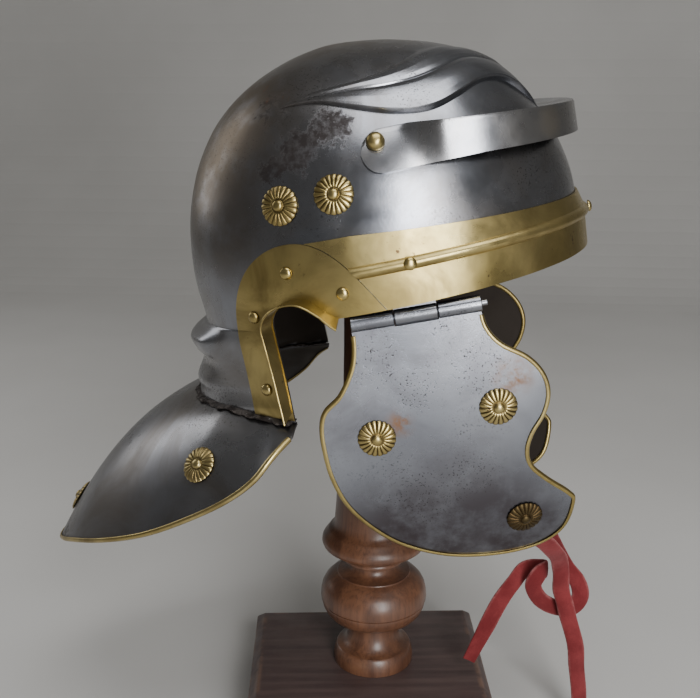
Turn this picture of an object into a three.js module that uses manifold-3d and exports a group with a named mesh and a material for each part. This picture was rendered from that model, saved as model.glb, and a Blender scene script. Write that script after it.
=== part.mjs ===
// A Roman legionary helmet standing on a turned wooden post, in millimetres, +Z up.
// +X is the way the face looks, +Y is the wearer's left. The origin is on the underside of the
// stand, below the post. The helmet's own frame starts at the brow rim and leans back with the bowl.
import * as THREE from "three";
import { mergeVertices } from "three/addons/utils/BufferGeometryUtils.js";
import Module from "manifold-3d";

const wasm = await Module();
wasm.setup();

const degrees = THREE.MathUtils.degToRad;

// Sheet metal and fits
const steel = 1.6; // thickness of every steel plate
const brass = 1; // thickness of every brass plate
const seat = 0.3; // gap that is left where two pieces lie on each other

// Bowl
const tilt = degrees(11.5); // how far the face is turned up
const browReach = 127; // from the crown's axis to the front of the bowl
const skullReach = 109.5; // from the crown's axis to the back of the bowl
const bowlHalfWidth = 97;
const bowlHeight = 141; // from the brow rim to the crown
const napeDrop = 49; // how far the nape goes down below the brow rim
const napeFlare = 16; // how much further back the foot of the nape reaches
const ribDepth = 8; // how far the nape ribs stand out
const ribSpan = degrees(28); // half the turn over which the ribs have their full depth
const ribFade = degrees(40); // half the turn at which they have died out
const bowlColumns = 32;
const napeSlope = 9; // how much lower the nape's foot is at its front corners
const slopeStart = 95; // behind the crown's axis, where it starts to fall
const slopeEnd = 50; // behind the crown's axis
const skirt = 13; // spare length below the nape that the rim cut takes off

// Eyebrows embossed on the front of the bowl
const eyebrowHeight = 4;
const eyebrowHalf = 14; // half the width of an eyebrow at its widest

// Ear openings
const earRear = 52; // behind the crown's axis
const earFront = 14; // behind the crown's axis
const earArch = 12.5; // height of the arch above the rim
const earCorner = 18; // how far behind the crown's axis the arch starts to fall

// Brass ear guards
const guardRear = 76; // behind the crown's axis
const guardFront = 12; // in front of the crown's axis
const guardTop = 43; // above the rim
const guardPeak = 34; // how far behind the crown's axis the guard is highest
const flangeDepth = 12; // how far the flange stands off the bowl
const flangeFoot = 50.7; // of its inner corner below the rim
const flangeSag = 4; // how much lower the outer corner of each end is

// Brow band
const bandHeight = 42;
const bandFall = 10.3; // how much lower its upper edge is at the front
const bandFlare = 2.5; // how much further its lower half stands off the bowl at the front
const ridgeSide = 22.3; // middle of the raised ridge above the rim, at the sides
const ridgeFront = 19.5; // and at the front
const ridgeHalf = 3.4;
const ridgeDepth = 2.6;

// Peak
const peakReach = 133; // from the crown's axis to the front of the peak
const peakHalfWidth = 85;
const peakStart = 40; // in front of the crown's axis, where the peak's curve begins
const peakSquareness = 2.3; // 2 would be an ellipse
const peakTop = 92; // of its upper edge above the rim, where the curve begins
const peakFall = 8.5; // how much lower the upper edge is at the front
const peakBottom = 69.7;
const peakBottomFall = 3.7;
const lobeMiddle = 24.5; // in front of the crown's axis
const foldDrop = 0.2; // of the top plate below the face's upper edge
const peakColumns = 32;

// Neck guard
const neckReach = 247; // from the crown's axis to its rear edge
const neckHalfWidth = 108;
const neckDrop = 136; // of its rear edge below the brow rim

// Brass edging of the plates
const lip = 1.8; // how far it grips over a plate
const edging = 0.9; // thickness of its brass
const edgingSeat = 0.55; // gap between a plate and its edging

// Cheek guards
const hingeRear = new THREE.Vector3(-9, -94, -5);
const hingeFront = new THREE.Vector3(61, -86.5, -7.5);
const cheekLength = 160; // from the hinge's axis to the lowest edge
const cheekReach = 75.8; // from the hinge's middle to the front of the chin lobe
const cheekBack = 61.5; // from the hinge's middle to the rear edge
const lowTuck = 25.5; // how far the chin end is drawn in
const foreTuck = 7.5; // how much more the front of it is drawn in
const knuckleRadius = 4.6;
const pinRadius = 1.7;
const pinClearance = 0.3;
const knuckleGap = 0.5;
const pinEnd = 3.5; // how far the pin stands out at its front end
const hingePlateHeight = 31; // above the hinge's axis

// Rosettes and rivets
const rosetteRadius = 10.7;
const rosetteHeight = 3;
const rosetteFlutes = 8;
const rivetRadius = 3.5;
const rivetHeight = 2.1;
const peakRivetRadius = 5;
const peakRivetHeight = 5;

// Laces
const laceWidth = 11;
const laceThickness = 2.2;

// Stand
const baseWidth = 162;
const baseDepth = 126;
const baseThickness = 36;
const baseBevel = 6;
const baseTurn = degrees(6.5);
const baseShift = 4; // how far the post stands in front of the board's middle
const postHeight = 409; // from the board to the top of the post's head
const headRadius = 58; // of the post's rounded head
const footRadius = 27.2;
const bulbRadius = 36;
const collarRadius = 35;
const shaftRadius = 22;

// Colours of the finishes
const steelFinish = { color: 0x7d818a, roughness: 0.32, metalness: 1 };
const brassFinish = { color: 0xb08a45, roughness: 0.35, metalness: 1 };
const laceFinish = { color: 0xa8383c, roughness: 0.9, metalness: 0 };
const postFinish = { color: 0x5a3320, roughness: 0.35, metalness: 0 };
const boardFinish = { color: 0x3a2420, roughness: 0.6, metalness: 0 };

// A closed geometry as a solid that can be joined and cut. A geometry that was wound the wrong
// way round, so that its volume is negative, is turned.
function solid(geometry) {
  const plain = new THREE.BufferGeometry();
  plain.setAttribute("position", geometry.getAttribute("position"));
  plain.setIndex(geometry.index);
  const merged = mergeVertices(plain, 1e-4);
  const position = merged.getAttribute("position");
  const index = [...merged.index.array];
  const corner = (i) => new THREE.Vector3().fromBufferAttribute(position, i);
  let volume = 0;
  for (let i = 0; i < index.length; i += 3)
    volume += corner(index[i]).dot(corner(index[i + 1]).cross(corner(index[i + 2])));
  if (volume < 0) index.reverse();
  return new wasm.Manifold(
    new wasm.Mesh({
      numProp: 3,
      vertProperties: position.array,
      triVerts: new Uint32Array(index),
    }),
  );
}

// A solid as a geometry.
function geometryOf(body) {
  const made = body.getMesh();
  const geometry = new THREE.BufferGeometry();
  const count = made.vertProperties.length / made.numProp;
  const position = new Float32Array(count * 3);
  for (let i = 0; i < count; i++)
    for (let k = 0; k < 3; k++)
      position[i * 3 + k] = made.vertProperties[i * made.numProp + k];
  geometry.setAttribute("position", new THREE.BufferAttribute(position, 3));
  geometry.setIndex(new THREE.BufferAttribute(made.triVerts, 1));
  geometry.computeVertexNormals();
  return geometry;
}

function addMesh(group, name, body, finish) {
  const mesh = new THREE.Mesh(geometryOf(body), new THREE.MeshStandardMaterial(finish));
  mesh.name = name;
  group.add(mesh);
  return mesh;
}

// A closed body through rings of points, each ring with as many points as the others.
function loft(rings, capTriangles) {
  const count = rings[0].length;
  const position = rings.flat().flatMap((p) => [p.x, p.y, p.z]);
  const index = [];
  for (let i = 0; i + 1 < rings.length; i++)
    for (let j = 0; j < count; j++) {
      const a = i * count + j;
      const b = i * count + ((j + 1) % count);
      index.push(a, b, a + count, b, b + count, a + count);
    }
  const last = (rings.length - 1) * count;
  for (const [a, b, c] of capTriangles) {
    index.push(a, c, b);
    index.push(last + a, last + b, last + c);
  }
  const geometry = new THREE.BufferGeometry();
  geometry.setAttribute("position", new THREE.Float32BufferAttribute(position, 3));
  geometry.setIndex(index);
  return solid(geometry);
}

// The triangles that close a ring of so many points round its first point.
function fan(count) {
  return Array.from({ length: count - 2 }, (_, i) => [0, i + 1, i + 2]);
}

// The point and the normal of the surface at(u, v), where u and v run from 0 to 1.
function onSurface(at, u, v) {
  const step = 1e-3;
  const p = at(u, v);
  const du = at(Math.min(u + step, 1), v).sub(at(Math.max(u - step, 0), v));
  const dv = at(u, Math.min(v + step, 1)).sub(at(u, Math.max(v - step, 0)));
  return { p, n: du.cross(dv).normalize() };
}

// A sheet of even thickness under the surface at(u, v).
function sheet(at, across, along, thickness) {
  const rings = [];
  for (let i = 0; i <= across; i++) {
    const column = Array.from({ length: along + 1 }, (_, j) => onSurface(at, i / across, j / along));
    const upper = column.map(({ p }) => p);
    const lower = column.map(({ p, n }) => p.clone().addScaledVector(n, -thickness));
    rings.push([...upper, ...lower.reverse()]);
  }
  const ends = [];
  for (let j = 0; j < along; j++) {
    const k = 2 * along + 1 - j;
    ends.push([j, j + 1, k], [j + 1, k - 1, k]);
  }
  return loft(rings, ends);
}

// An outline in the side view, x forward and z up, pushed through from y0 to y1.
function sidePrism(shape, y0, y1) {
  const geometry = new THREE.ExtrudeGeometry(shape, {
    depth: y1 - y0,
    bevelEnabled: false,
    curveSegments: 7,
  });
  geometry.rotateX(Math.PI / 2).translate(0, y1, 0);
  return solid(geometry);
}

// Rows of the bowl from the foot of the nape to the crown. In the nape rows, drop is a share of
// napeDrop, flare of napeFlare, rib of ribDepth and width of bowlHalfWidth.
const napeRows = [
  { drop: 1, flare: 1, rib: 0, width: 0.965 },
  { drop: 0.88, flare: 0.78, rib: 0.3, width: 0.963 },
  { drop: 0.76, flare: 0.62, rib: 0.6, width: 0.965 },
  { drop: 0.52, flare: 0.5, rib: 0, width: 0.966 },
  { drop: 0.37, flare: 0.4, rib: 0.65, width: 0.975 },
  { drop: 0.22, flare: 0.3, rib: 1, width: 0.985 },
  { drop: 0.08, flare: 0.1, rib: 0.1, width: 0.993 },
];

// Rows of the skull: height is a share of bowlHeight, front of browReach, back of skullReach and
// width of bowlHalfWidth.
const skullRows = [
  { height: 0, front: 0.995, back: 0.99, width: 1 },
  { height: 0.15, front: 1, back: 1, width: 1 },
  { height: 0.3, front: 0.994, back: 0.982, width: 0.985 },
  { height: 0.43, front: 0.963, back: 0.945, width: 0.95 },
  { height: 0.53, front: 0.918, back: 0.898, width: 0.905 },
  { height: 0.63, front: 0.86, back: 0.835, width: 0.84 },
  { height: 0.73, front: 0.783, back: 0.745, width: 0.75 },
  { height: 0.8, front: 0.715, back: 0.66, width: 0.67 },
  { height: 0.865, front: 0.615, back: 0.55, width: 0.565 },
  { height: 0.92, front: 0.48, back: 0.42, width: 0.445 },
  { height: 0.96, front: 0.33, back: 0.285, width: 0.31 },
  { height: 0.985, front: 0.19, back: 0.16, width: 0.175 },
  { height: 1, front: 0, back: 0, width: 0 },
];

const rows = [
  ...napeRows.map(({ drop, flare, rib, width }) => ({
    z: -napeDrop * drop,
    front: browReach * skullRows[0].front,
    back: skullReach * skullRows[0].back + napeFlare * flare,
    rib: ribDepth * rib,
    width: bowlHalfWidth * width,
  })),
  ...skullRows.map(({ height, front, back, width }) => ({
    z: bowlHeight * height,
    front: browReach * front,
    back: skullReach * back,
    rib: 0,
    width: bowlHalfWidth * width,
  })),
];
const crownRow = rows.length - 1;

// The bowl's section at row t, which may lie between two rows. Below the first row it goes
// straight down.
function section(t) {
  if (t < 0) return { ...rows[0], z: rows[0].z + skirt * t };
  const i = Math.min(Math.floor(t), crownRow - 1);
  const s = t - i;
  const row = (k) => {
    if (k < 0) return rows[0];
    if (k <= crownRow) return rows[k];
    const { z, front, back, rib, width } = rows[2 * crownRow - k];
    return { z, front: -front, back: -back, rib, width: -width };
  };
  const mixed = {};
  for (const key of ["z", "front", "back", "rib", "width"]) {
    const [a, b, c, d] = [i - 1, i, i + 1, i + 2].map((k) => row(k)[key]);
    const m0 = (c - a) / 2;
    const m1 = (d - b) / 2;
    const s2 = s * s;
    const s3 = s2 * s;
    mixed[key] =
      (2 * s3 - 3 * s2 + 1) * b + (s3 - 2 * s2 + s) * m0 + (3 * s2 - 2 * s3) * c + (s3 - s2) * m1;
  }
  return mixed;
}

// A point on the bowl's outer face: turn is 0 at the front, positive towards the wearer's left.
function bowlFace(t, turn) {
  const { z, front, back, rib, width } = section(t);
  const fromBack = Math.PI - Math.abs(Math.atan2(Math.sin(turn), Math.cos(turn)));
  const ribs = rib * (1 - THREE.MathUtils.smoothstep(fromBack, ribSpan, ribFade));
  const forward = Math.cos(turn);
  const reach = forward > 0 ? front : back + ribs;
  return new THREE.Vector3(reach * forward, width * Math.sin(turn), z);
}

// A point that stands off the bowl's outer face along its normal.
function bowlPoint(t, turn, off) {
  const step = 1e-3;
  const p = bowlFace(t, turn);
  const up = t > crownRow - step ? t - step : t;
  const along = bowlFace(up + step, turn).sub(bowlFace(up - step, turn));
  const around = bowlFace(up, turn + step).sub(bowlFace(up, turn - step));
  const n = around.cross(along).normalize();
  if (t > crownRow - step) n.set(0, 0, 1);
  return p.addScaledVector(n, off);
}

// The row at which the bowl has height z.
function rowAt(z) {
  let low = -1;
  let high = crownRow;
  for (let i = 0; i < 40; i++) {
    const middle = (low + high) / 2;
    if (section(middle).z < z) low = middle;
    else high = middle;
  }
  return low;
}

// The point on the wearer's right of the bowl at x and z of the side view, off its face.
function sidePoint(x, z, off) {
  const t = rowAt(z);
  const { front, back } = section(t);
  const share = x > 0 ? x / front : x / back;
  return bowlPoint(t, -Math.acos(THREE.MathUtils.clamp(share, -1, 1)), off);
}

// The point on top of the bowl above x and y, off its face.
function topPoint(x, y, off) {
  let low = rowAt(0);
  let high = crownRow;
  for (let i = 0; i < 40; i++) {
    const middle = (low + high) / 2;
    const { front, back, width } = section(middle);
    if ((x / (x > 0 ? front : back)) ** 2 + (y / width) ** 2 < 1) low = middle;
    else high = middle;
  }
  const { front, back, width } = section(low);
  return bowlPoint(low, Math.atan2(y / width, x / (x > 0 ? front : back)), off);
}

// The whole bowl shape, filled, with its face moved out by off. It reaches below the nape.
function bowlForm(off) {
  const rings = [];
  for (let t = -1; t < crownRow; t++) {
    const ring = [];
    for (let j = 0; j < bowlColumns; j++)
      ring.push(bowlPoint(t, (j / bowlColumns) * 2 * Math.PI, off));
    rings.push(ring);
  }
  const crown = new THREE.Vector3(0, 0, bowlHeight + off);
  rings.push(Array.from({ length: bowlColumns }, () => crown));
  return loft(rings, fan(bowlColumns));
}

const outside = bowlForm(0);
const seatForm = bowlForm(seat);
const brassForm = bowlForm(seat + brass);

// The ear arch in the side view, from its rear foot over the top to the rim in front.
function archPath(shape, foot) {
  shape.moveTo(-earRear, foot);
  shape.lineTo(-earRear, -2);
  shape.bezierCurveTo(-earRear, earArch * 0.6, -earRear + 8, earArch, -(earRear + earCorner) / 2, earArch);
  shape.bezierCurveTo(-earCorner - 8, earArch, -earCorner - 4, 2, -earFront, 0);
}

// The height of the nape's foot in the side view.
function napeFoot(x) {
  return -napeDrop - napeSlope * THREE.MathUtils.clamp((x + slopeStart) / (slopeStart - slopeEnd), 0, 1);
}

// Everything below the rim, with the ear arches, that is not bowl.
const spare = 60; // how far cutting shapes pass what they cut
const rimShape = new THREE.Shape();
archPath(rimShape, -napeDrop - spare);
rimShape.lineTo(browReach + spare, 0);
rimShape.lineTo(browReach + spare, -napeDrop - spare);
const belowRim = sidePrism(rimShape, -2 * bowlHalfWidth, 2 * bowlHalfWidth);
const napeShape = new THREE.Shape();
napeShape.moveTo(-2 * skullReach, -napeDrop);
napeShape.lineTo(-slopeStart, napeFoot(-slopeStart));
napeShape.lineTo(-slopeEnd, napeFoot(-slopeEnd));
napeShape.lineTo(browReach, -napeDrop - spare);
napeShape.lineTo(-2 * skullReach, -napeDrop - spare);
const belowNape = sidePrism(napeShape, -2 * bowlHalfWidth, 2 * bowlHalfWidth);

// An eyebrow: its middle line seen from above from the outer tip to the front, with x a share of
// browReach, y of bowlHalfWidth and half of eyebrowHalf.
const eyebrowRows = [
  { x: -0.197, y: 0.634, half: 0.05 },
  { x: -0.047, y: 0.665, half: 0.3 },
  { x: 0.126, y: 0.68, half: 0.55 },
  { x: 0.24, y: 0.649, half: 0.66 },
  { x: 0.339, y: 0.577, half: 0.82 },
  { x: 0.441, y: 0.454, half: 0.97 },
  { x: 0.52, y: 0.325, half: 1 },
  { x: 0.622, y: 0.211, half: 0.88 },
  { x: 0.736, y: 0.124, half: 0.62 },
  { x: 0.839, y: 0.072, half: 0.4 },
];

// Its section: across is a share of the half width and height of eyebrowHeight.
const eyebrowSection = [
  { across: -1, height: -0.2 },
  { across: -0.92, height: 0.75 },
  { across: -0.4, height: 0.7 },
  { across: -0.15, height: 0.4 },
  { across: 0.15, height: 0.9 },
  { across: 0.55, height: 0.85 },
  { across: 1, height: -0.2 },
];

function eyebrow(side) {
  const middle = new THREE.CatmullRomCurve3(
    eyebrowRows.map(({ x, y, half }) => new THREE.Vector3(x * browReach, side * y * bowlHalfWidth, half)),
  );
  const steps = 16;
  const rings = [];
  for (let i = 0; i <= steps; i++) {
    const at = middle.getPoint(i / steps);
    const forward = middle.getTangent(i / steps);
    const inward = new THREE.Vector2(forward.y, -forward.x).multiplyScalar(side).normalize();
    const half = Math.max(at.z, 0.05) * eyebrowHalf;
    const rise = eyebrowHeight * Math.min(1, at.z / 0.5);
    const face = (across, off) =>
      topPoint(at.x + inward.x * across * half, at.y + inward.y * across * half, off);
    const ring = eyebrowSection.map(({ across, height }) => face(across, height * rise));
    ring.push(face(0.6, -steel * 0.7), face(-0.6, -steel * 0.7));
    rings.push(ring);
  }
  return loft(rings, fan(rings[0].length));
}

const bowl = outside
  .subtract(bowlForm(-steel))
  .subtract(belowRim)
  .subtract(belowNape)
  .add(eyebrow(-1))
  .add(eyebrow(1));

// The outside of a brass ear guard in the side view, from its rear foot over the top to the rim.
const guardLift = 1.3; // its lower end stays clear of the neck guard
const guardShape = new THREE.Shape();
guardShape.moveTo(-guardRear, napeFoot(-guardRear) + guardLift);
guardShape.lineTo(-guardRear, -10);
guardShape.bezierCurveTo(-guardRear, guardTop * 0.55, -guardPeak - 22, guardTop, -guardPeak, guardTop);
guardShape.bezierCurveTo(-guardPeak + 22, guardTop, 0, guardTop * 0.45, guardFront, 0);
guardShape.lineTo(-earFront, 0);
guardShape.lineTo(-slopeEnd, napeFoot(-slopeEnd) + guardLift);
const guardPrism = sidePrism(guardShape, -2 * bowlHalfWidth, -seat);
const guardPlate = brassForm.subtract(seatForm).intersect(guardPrism).subtract(belowRim);

// The flange that stands off the bowl along the ear arch.
const arch = new THREE.Shape();
archPath(arch, -flangeFoot);
const archPoints = arch.getPoints(6);

function flange() {
  const rings = archPoints.map((p, i) => {
    const before = archPoints[Math.max(i - 1, 0)];
    const after = archPoints[Math.min(i + 1, archPoints.length - 1)];
    const along = after.clone().sub(before).normalize();
    const away = new THREE.Vector2(-along.y, along.x).multiplyScalar(brass);
    const near = [seat, flangeDepth].map((off) => sidePoint(p.x, p.y, off));
    const far = [flangeDepth, seat].map((off) => sidePoint(p.x + away.x, p.y + away.y, off));
    const atEnd = i === 0 || i === archPoints.length - 1;
    if (atEnd) for (const outer of [near[1], far[0]]) outer.z -= flangeSag;
    return [...near, ...far];
  });
  return loft(rings, fan(4));
}
const earGuard = guardPlate.add(flange());

// The brow band: rows of its outer face, with a raised ridge, over the bowl's face. Its foot, its
// ridge and its top are each at a height, and the ridge's rows lie round it at shares of ridgeHalf.
const bandRows = [
  { from: "foot", share: 0, off: 0 },
  { from: "ridge", share: -1, off: 0 },
  { from: "ridge", share: -0.6, off: 0.8 },
  { from: "ridge", share: 0, off: 1 },
  { from: "ridge", share: 0.6, off: 0.8 },
  { from: "ridge", share: 1, off: 0 },
  { from: "top", share: 0, off: 0 },
];

// The height of the ridge's middle at a turn round the bowl.
function ridgeAt(turn) {
  return THREE.MathUtils.lerp(ridgeFront, ridgeSide, Math.abs(Math.sin(turn)));
}

// How far the band's lower half stands off the bowl at a turn.
function bandOff(turn) {
  return seat + brass + bandFlare * Math.max(Math.cos(turn), 0) ** 2;
}

function bandForm() {
  const rings = bandRows.map(({ from, share, off }) => {
    const ring = [];
    for (let j = 0; j < bowlColumns; j++) {
      const turn = (j / bowlColumns) * 2 * Math.PI;
      const top = bandHeight - bandFall * Math.max(Math.cos(turn), 0);
      const height = { foot: -1, ridge: ridgeAt(turn), top }[from] + share * ridgeHalf;
      const base = from === "top" ? seat + brass : bandOff(turn);
      ring.push(bowlPoint(rowAt(height), turn, base + off * ridgeDepth));
    }
    return ring;
  });
  return loft(rings, fan(bowlColumns));
}

// The band ends under the edge of each ear guard, with a gap, so the same outline is cut from it.
const bandCut = new THREE.Shape();
bandCut.moveTo(-2 * skullReach, -spare);
bandCut.lineTo(-2 * skullReach, 2 * bandHeight);
bandCut.lineTo(-guardPeak + 14, 2 * bandHeight);
bandCut.lineTo(-guardPeak + 14, guardTop);
for (const p of guardShape.getPoints(10).filter(({ x, y }) => x > -guardPeak + 14 && x + y > 0))
  bandCut.lineTo(p.x + seat, p.y + seat);
bandCut.lineTo(guardFront + seat, -spare);
const browBand = bandForm()
  .subtract(seatForm)
  .subtract(sidePrism(bandCut, -2 * bowlHalfWidth, 2 * bowlHalfWidth))
  .subtract(belowRim);

// The peak's upright face stands on a curve seen from above, and lies on the bowl at its lobes.
function peakFace(u, z) {
  const side = u < 0.5 ? -1 : 1;
  const run = 1 - Math.abs(2 * u - 1); // 0 at the lobes, 1 at the front
  const lobeShare = 0.25;
  const lobeTip = 6;
  let x = lobeTip + (peakStart - lobeTip) * Math.min(run / lobeShare, 1);
  let y = peakHalfWidth;
  if (run > lobeShare) {
    const angle = ((run - lobeShare) / (1 - lobeShare)) * (Math.PI / 2);
    const power = 2 / peakSquareness;
    x = peakStart + (peakReach - peakStart) * Math.sin(angle) ** power;
    y = peakHalfWidth * Math.max(Math.cos(angle), 0) ** power;
  }
  const onBowl = sidePoint(x, z, seat + steel);
  const free = THREE.MathUtils.smoothstep(x, lobeMiddle + 4, peakStart + 18);
  const px = THREE.MathUtils.lerp(onBowl.x, x, free);
  const py = THREE.MathUtils.lerp(-onBowl.y, y, free);
  return new THREE.Vector3(px, side * py, z);
}

function peakUpper(x) {
  return peakTop - (peakFall * Math.max(x - peakStart, 0)) / (peakReach - peakStart);
}

function peak() {
  const low = peakBottom - 8;
  const high = peakTop + 6;
  const wall = sheet((u, v) => peakFace(u, low + (high - low) * v), peakColumns, 2, steel);
  const outline = new THREE.Shape();
  const lobeRadius = (peakTop - peakBottom) / 2;
  const beyond = peakReach + 10;
  outline.moveTo(beyond, peakBottom - peakBottomFall);
  outline.lineTo(peakStart + 36, peakBottom);
  outline.lineTo(lobeMiddle, peakBottom);
  outline.absarc(lobeMiddle, peakBottom + lobeRadius, lobeRadius, -Math.PI / 2, Math.PI / 2, true);
  outline.lineTo(peakStart, peakTop);
  outline.lineTo(beyond, peakUpper(beyond));
  const trimmed = wall.intersect(sidePrism(outline, -2 * peakHalfWidth, 2 * peakHalfWidth));
  const rim = [];
  for (let i = 1; i < peakColumns; i++) {
    const p = peakFace(i / peakColumns, peakTop);
    const along = peakFace((i + 1) / peakColumns, peakTop).sub(peakFace((i - 1) / peakColumns, peakTop));
    const inward = new THREE.Vector3(-along.y, along.x, 0).setLength(steel / 2);
    if (p.x > lobeMiddle) rim.push(p.add(inward));
  }
  const ring = (drop) => rim.map(({ x, y }) => new THREE.Vector3(x, y, peakUpper(x) - drop));
  const flat = THREE.ShapeUtils.triangulateShape(rim.map(({ x, y }) => new THREE.Vector2(x, y)), []);
  const topPlate = loft([ring(foldDrop), ring(foldDrop + steel)], flat);
  return trimmed.add(topPlate).subtract(seatForm);
}

// The neck guard's edge from the right front corner to the middle of the back: angle is that of
// the nape's foot where the plate starts, in degrees from the back; back is a share of neckReach,
// side of neckHalfWidth and drop of neckDrop.
const neckRows = [
  { angle: 65.3, back: 0.2186, side: 0.87, drop: 0.456 },
  { angle: 60, back: 0.269, side: 0.963, drop: 0.515 },
  { angle: 54, back: 0.322, side: 1, drop: 0.593 },
  { angle: 47, back: 0.4, side: 1, drop: 0.662 },
  { angle: 39, back: 0.51, side: 0.963, drop: 0.728 },
  { angle: 30, back: 0.6316, side: 0.852, drop: 0.798 },
  { angle: 21, back: 0.769, side: 0.667, drop: 0.859 },
  { angle: 12, back: 0.9, side: 0.417, drop: 0.919 },
  { angle: 5, back: 0.975, side: 0.185, drop: 0.976 },
  { angle: 0, back: 1, side: 0, drop: 1 },
];
const neckStations = [
  ...neckRows,
  ...neckRows.slice(0, -1).reverse().map((row) => ({ ...row, angle: -row.angle, side: -row.side })),
];
const neckEdge = new THREE.CatmullRomCurve3(
  neckStations.map(({ back, side, drop }) => new THREE.Vector3(-back * neckReach, -side * neckHalfWidth, -drop * neckDrop)),
);
const neckAngles = new THREE.CatmullRomCurve3(
  neckStations.map(({ angle }, i) => new THREE.Vector3(angle, i, 0)),
);
// The neck guard's upper face: u runs round from the right front corner, v from the nape out.
function neckFace(u, v) {
  const turn = Math.PI + degrees(neckAngles.getPoint(u).x);
  const start = bowlPoint(0, turn, -steel);
  start.z = napeFoot(start.x) - seat;
  const end = neckEdge.getPoint(u);
  const bow = 1.3 + 0.5 * Math.sin(Math.PI * u);
  const p = start.clone().lerp(end, v);
  p.z = THREE.MathUtils.lerp(start.z, end.z, v ** bow);
  return p;
}
const neckColumns = 34;
const neckRuns = 4;
const bareColumns = 2; // without edging at each front corner
// The runs from the nape to the edge get shorter towards the edge, where the edging grips.
const neckCrowd = 1.9;
const neckGuard = sheet((u, v) => neckFace(u, 1 - (1 - v) ** neckCrowd), neckColumns, neckRuns, steel);

// A brass channel along a plate's edge. Each station has the edge's point in the middle of the
// plate's thickness, the direction out of the plate and the plate's normal.
function channel(stations) {
  const slot = steel / 2 + edgingSeat;
  const wide = slot + edging;
  const profile = [
    [-lip, -wide],
    [edgingSeat + edging, -wide],
    [edgingSeat + edging, wide],
    [-lip, wide],
    [-lip, slot],
    [edgingSeat, slot],
    [edgingSeat, -slot],
    [-lip, -slot],
  ].map(([x, y]) => new THREE.Vector2(x, y));
  const rings = stations.map(({ p, out, normal }) =>
    profile.map(({ x, y }) => p.clone().addScaledVector(out, x).addScaledVector(normal, y)),
  );
  return loft(rings, THREE.ShapeUtils.triangulateShape(profile, []));
}

// Stations along an edge from its points and the plate's normal at each.
function edgeStations(points, normals) {
  return points.map((p, i) => {
    const before = points[Math.max(i - 1, 0)];
    const after = points[Math.min(i + 1, points.length - 1)];
    const along = after.clone().sub(before).normalize();
    const out = along.clone().cross(normals[i]).normalize();
    const normal = out.clone().cross(along).normalize();
    return { p, out, normal };
  });
}

// The neck guard's edging starts behind each front corner, where the plate twists.
function neckBinding() {
  const points = [];
  const normals = [];
  for (let i = neckColumns; i >= 0; i--) {
    const { p, n } = onSurface(neckFace, i / neckColumns, 1);
    points.push(p.addScaledVector(n, -steel / 2));
    normals.push(n);
  }
  return channel(edgeStations(points, normals).slice(bareColumns, -bareColumns));
}

// A cheek guard in its own frame: x along the hinge to the front, y towards the middle of the
// head and z up, from the hinge's middle. Its outline runs from the rear of the hinge down round
// the chin to the front of the hinge: x is a share of cheekReach when positive, of cheekBack
// when negative, and z of cheekLength.
const cheekOutline = [
  { x: -0.57, z: -0.012 },
  { x: -0.585, z: -0.09 },
  { x: -0.64, z: -0.16 },
  { x: -0.772, z: -0.24 },
  { x: -0.93, z: -0.29 },
  { x: -0.99, z: -0.35 },
  { x: -1, z: -0.437 },
  { x: -0.975, z: -0.547 },
  { x: -0.875, z: -0.669 },
  { x: -0.67, z: -0.785 },
  { x: -0.41, z: -0.88 },
  { x: -0.01, z: -0.962 },
  { x: 0.38, z: -1 },
  { x: 0.7, z: -0.992 },
  { x: 0.91, z: -0.933 },
  { x: 1, z: -0.82 },
  { x: 0.965, z: -0.772 },
  { x: 0.8, z: -0.69 },
  { x: 0.69, z: -0.622 },
  { x: 0.672, z: -0.56 },
  { x: 0.72, z: -0.497 },
  { x: 0.82, z: -0.43 },
  { x: 0.87, z: -0.356 },
  { x: 0.845, z: -0.281 },
  { x: 0.745, z: -0.212 },
  { x: 0.57, z: -0.15 },
  { x: 0.48, z: -0.085 },
  { x: 0.455, z: -0.012 },
];
const cheekCurve = new THREE.CatmullRomCurve3(
  cheekOutline.map(({ x, z }) => new THREE.Vector3(x * (x > 0 ? cheekReach : cheekBack), 0, z * cheekLength)),
);
const cheekPoints = cheekCurve.getPoints(36);

// The middle of the cheek guard's thickness at x and z. It hangs from the middle of its knuckles.
function cheekFace(x, z) {
  const down = THREE.MathUtils.clamp(-z / cheekLength, 0, 1.2);
  const fore = Math.max(x / cheekReach, 0);
  return new THREE.Vector3(x, lowTuck * down ** 3 + foreTuck * fore ** 2 * down, z);
}

function barrel(x0, x1, radius, sides) {
  const geometry = new THREE.CylinderGeometry(radius, radius, x1 - x0, sides);
  geometry.rotateZ(Math.PI / 2).translate((x0 + x1) / 2, 0, 0);
  return solid(geometry);
}

const hingeLength = hingeFront.distanceTo(hingeRear);
const knuckle = hingeLength / 3;
const hingeBore = barrel(-hingeLength, hingeLength, pinRadius + pinClearance, 12);

function cheekGuard() {
  const x0 = -cheekBack - 12;
  const x1 = cheekReach + 12;
  const z0 = -cheekLength - 12;
  const surface = (u, v) => {
    const p = cheekFace(x0 + (x1 - x0) * u, z0 - z0 * v);
    p.y -= steel / 2;
    return p;
  };
  const slab = sheet(surface, 8, 13, steel);
  const outline = new THREE.Shape(cheekPoints.map(({ x, z }) => new THREE.Vector2(x, z)));
  const plate = slab.intersect(sidePrism(outline, -4 * lowTuck, 4 * lowTuck));
  const rear = barrel(-hingeLength / 2, -knuckle / 2 - knuckleGap / 2, knuckleRadius, 16);
  const front = barrel(knuckle / 2 + knuckleGap / 2, hingeLength / 2, knuckleRadius, 16);
  const clear = knuckleRadius + knuckleGap;
  const middle = barrel(-knuckle / 2 - knuckleGap / 2, knuckle / 2 + knuckleGap / 2, clear, 16);
  return plate.add(rear).add(front).subtract(middle).subtract(hingeBore);
}

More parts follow.
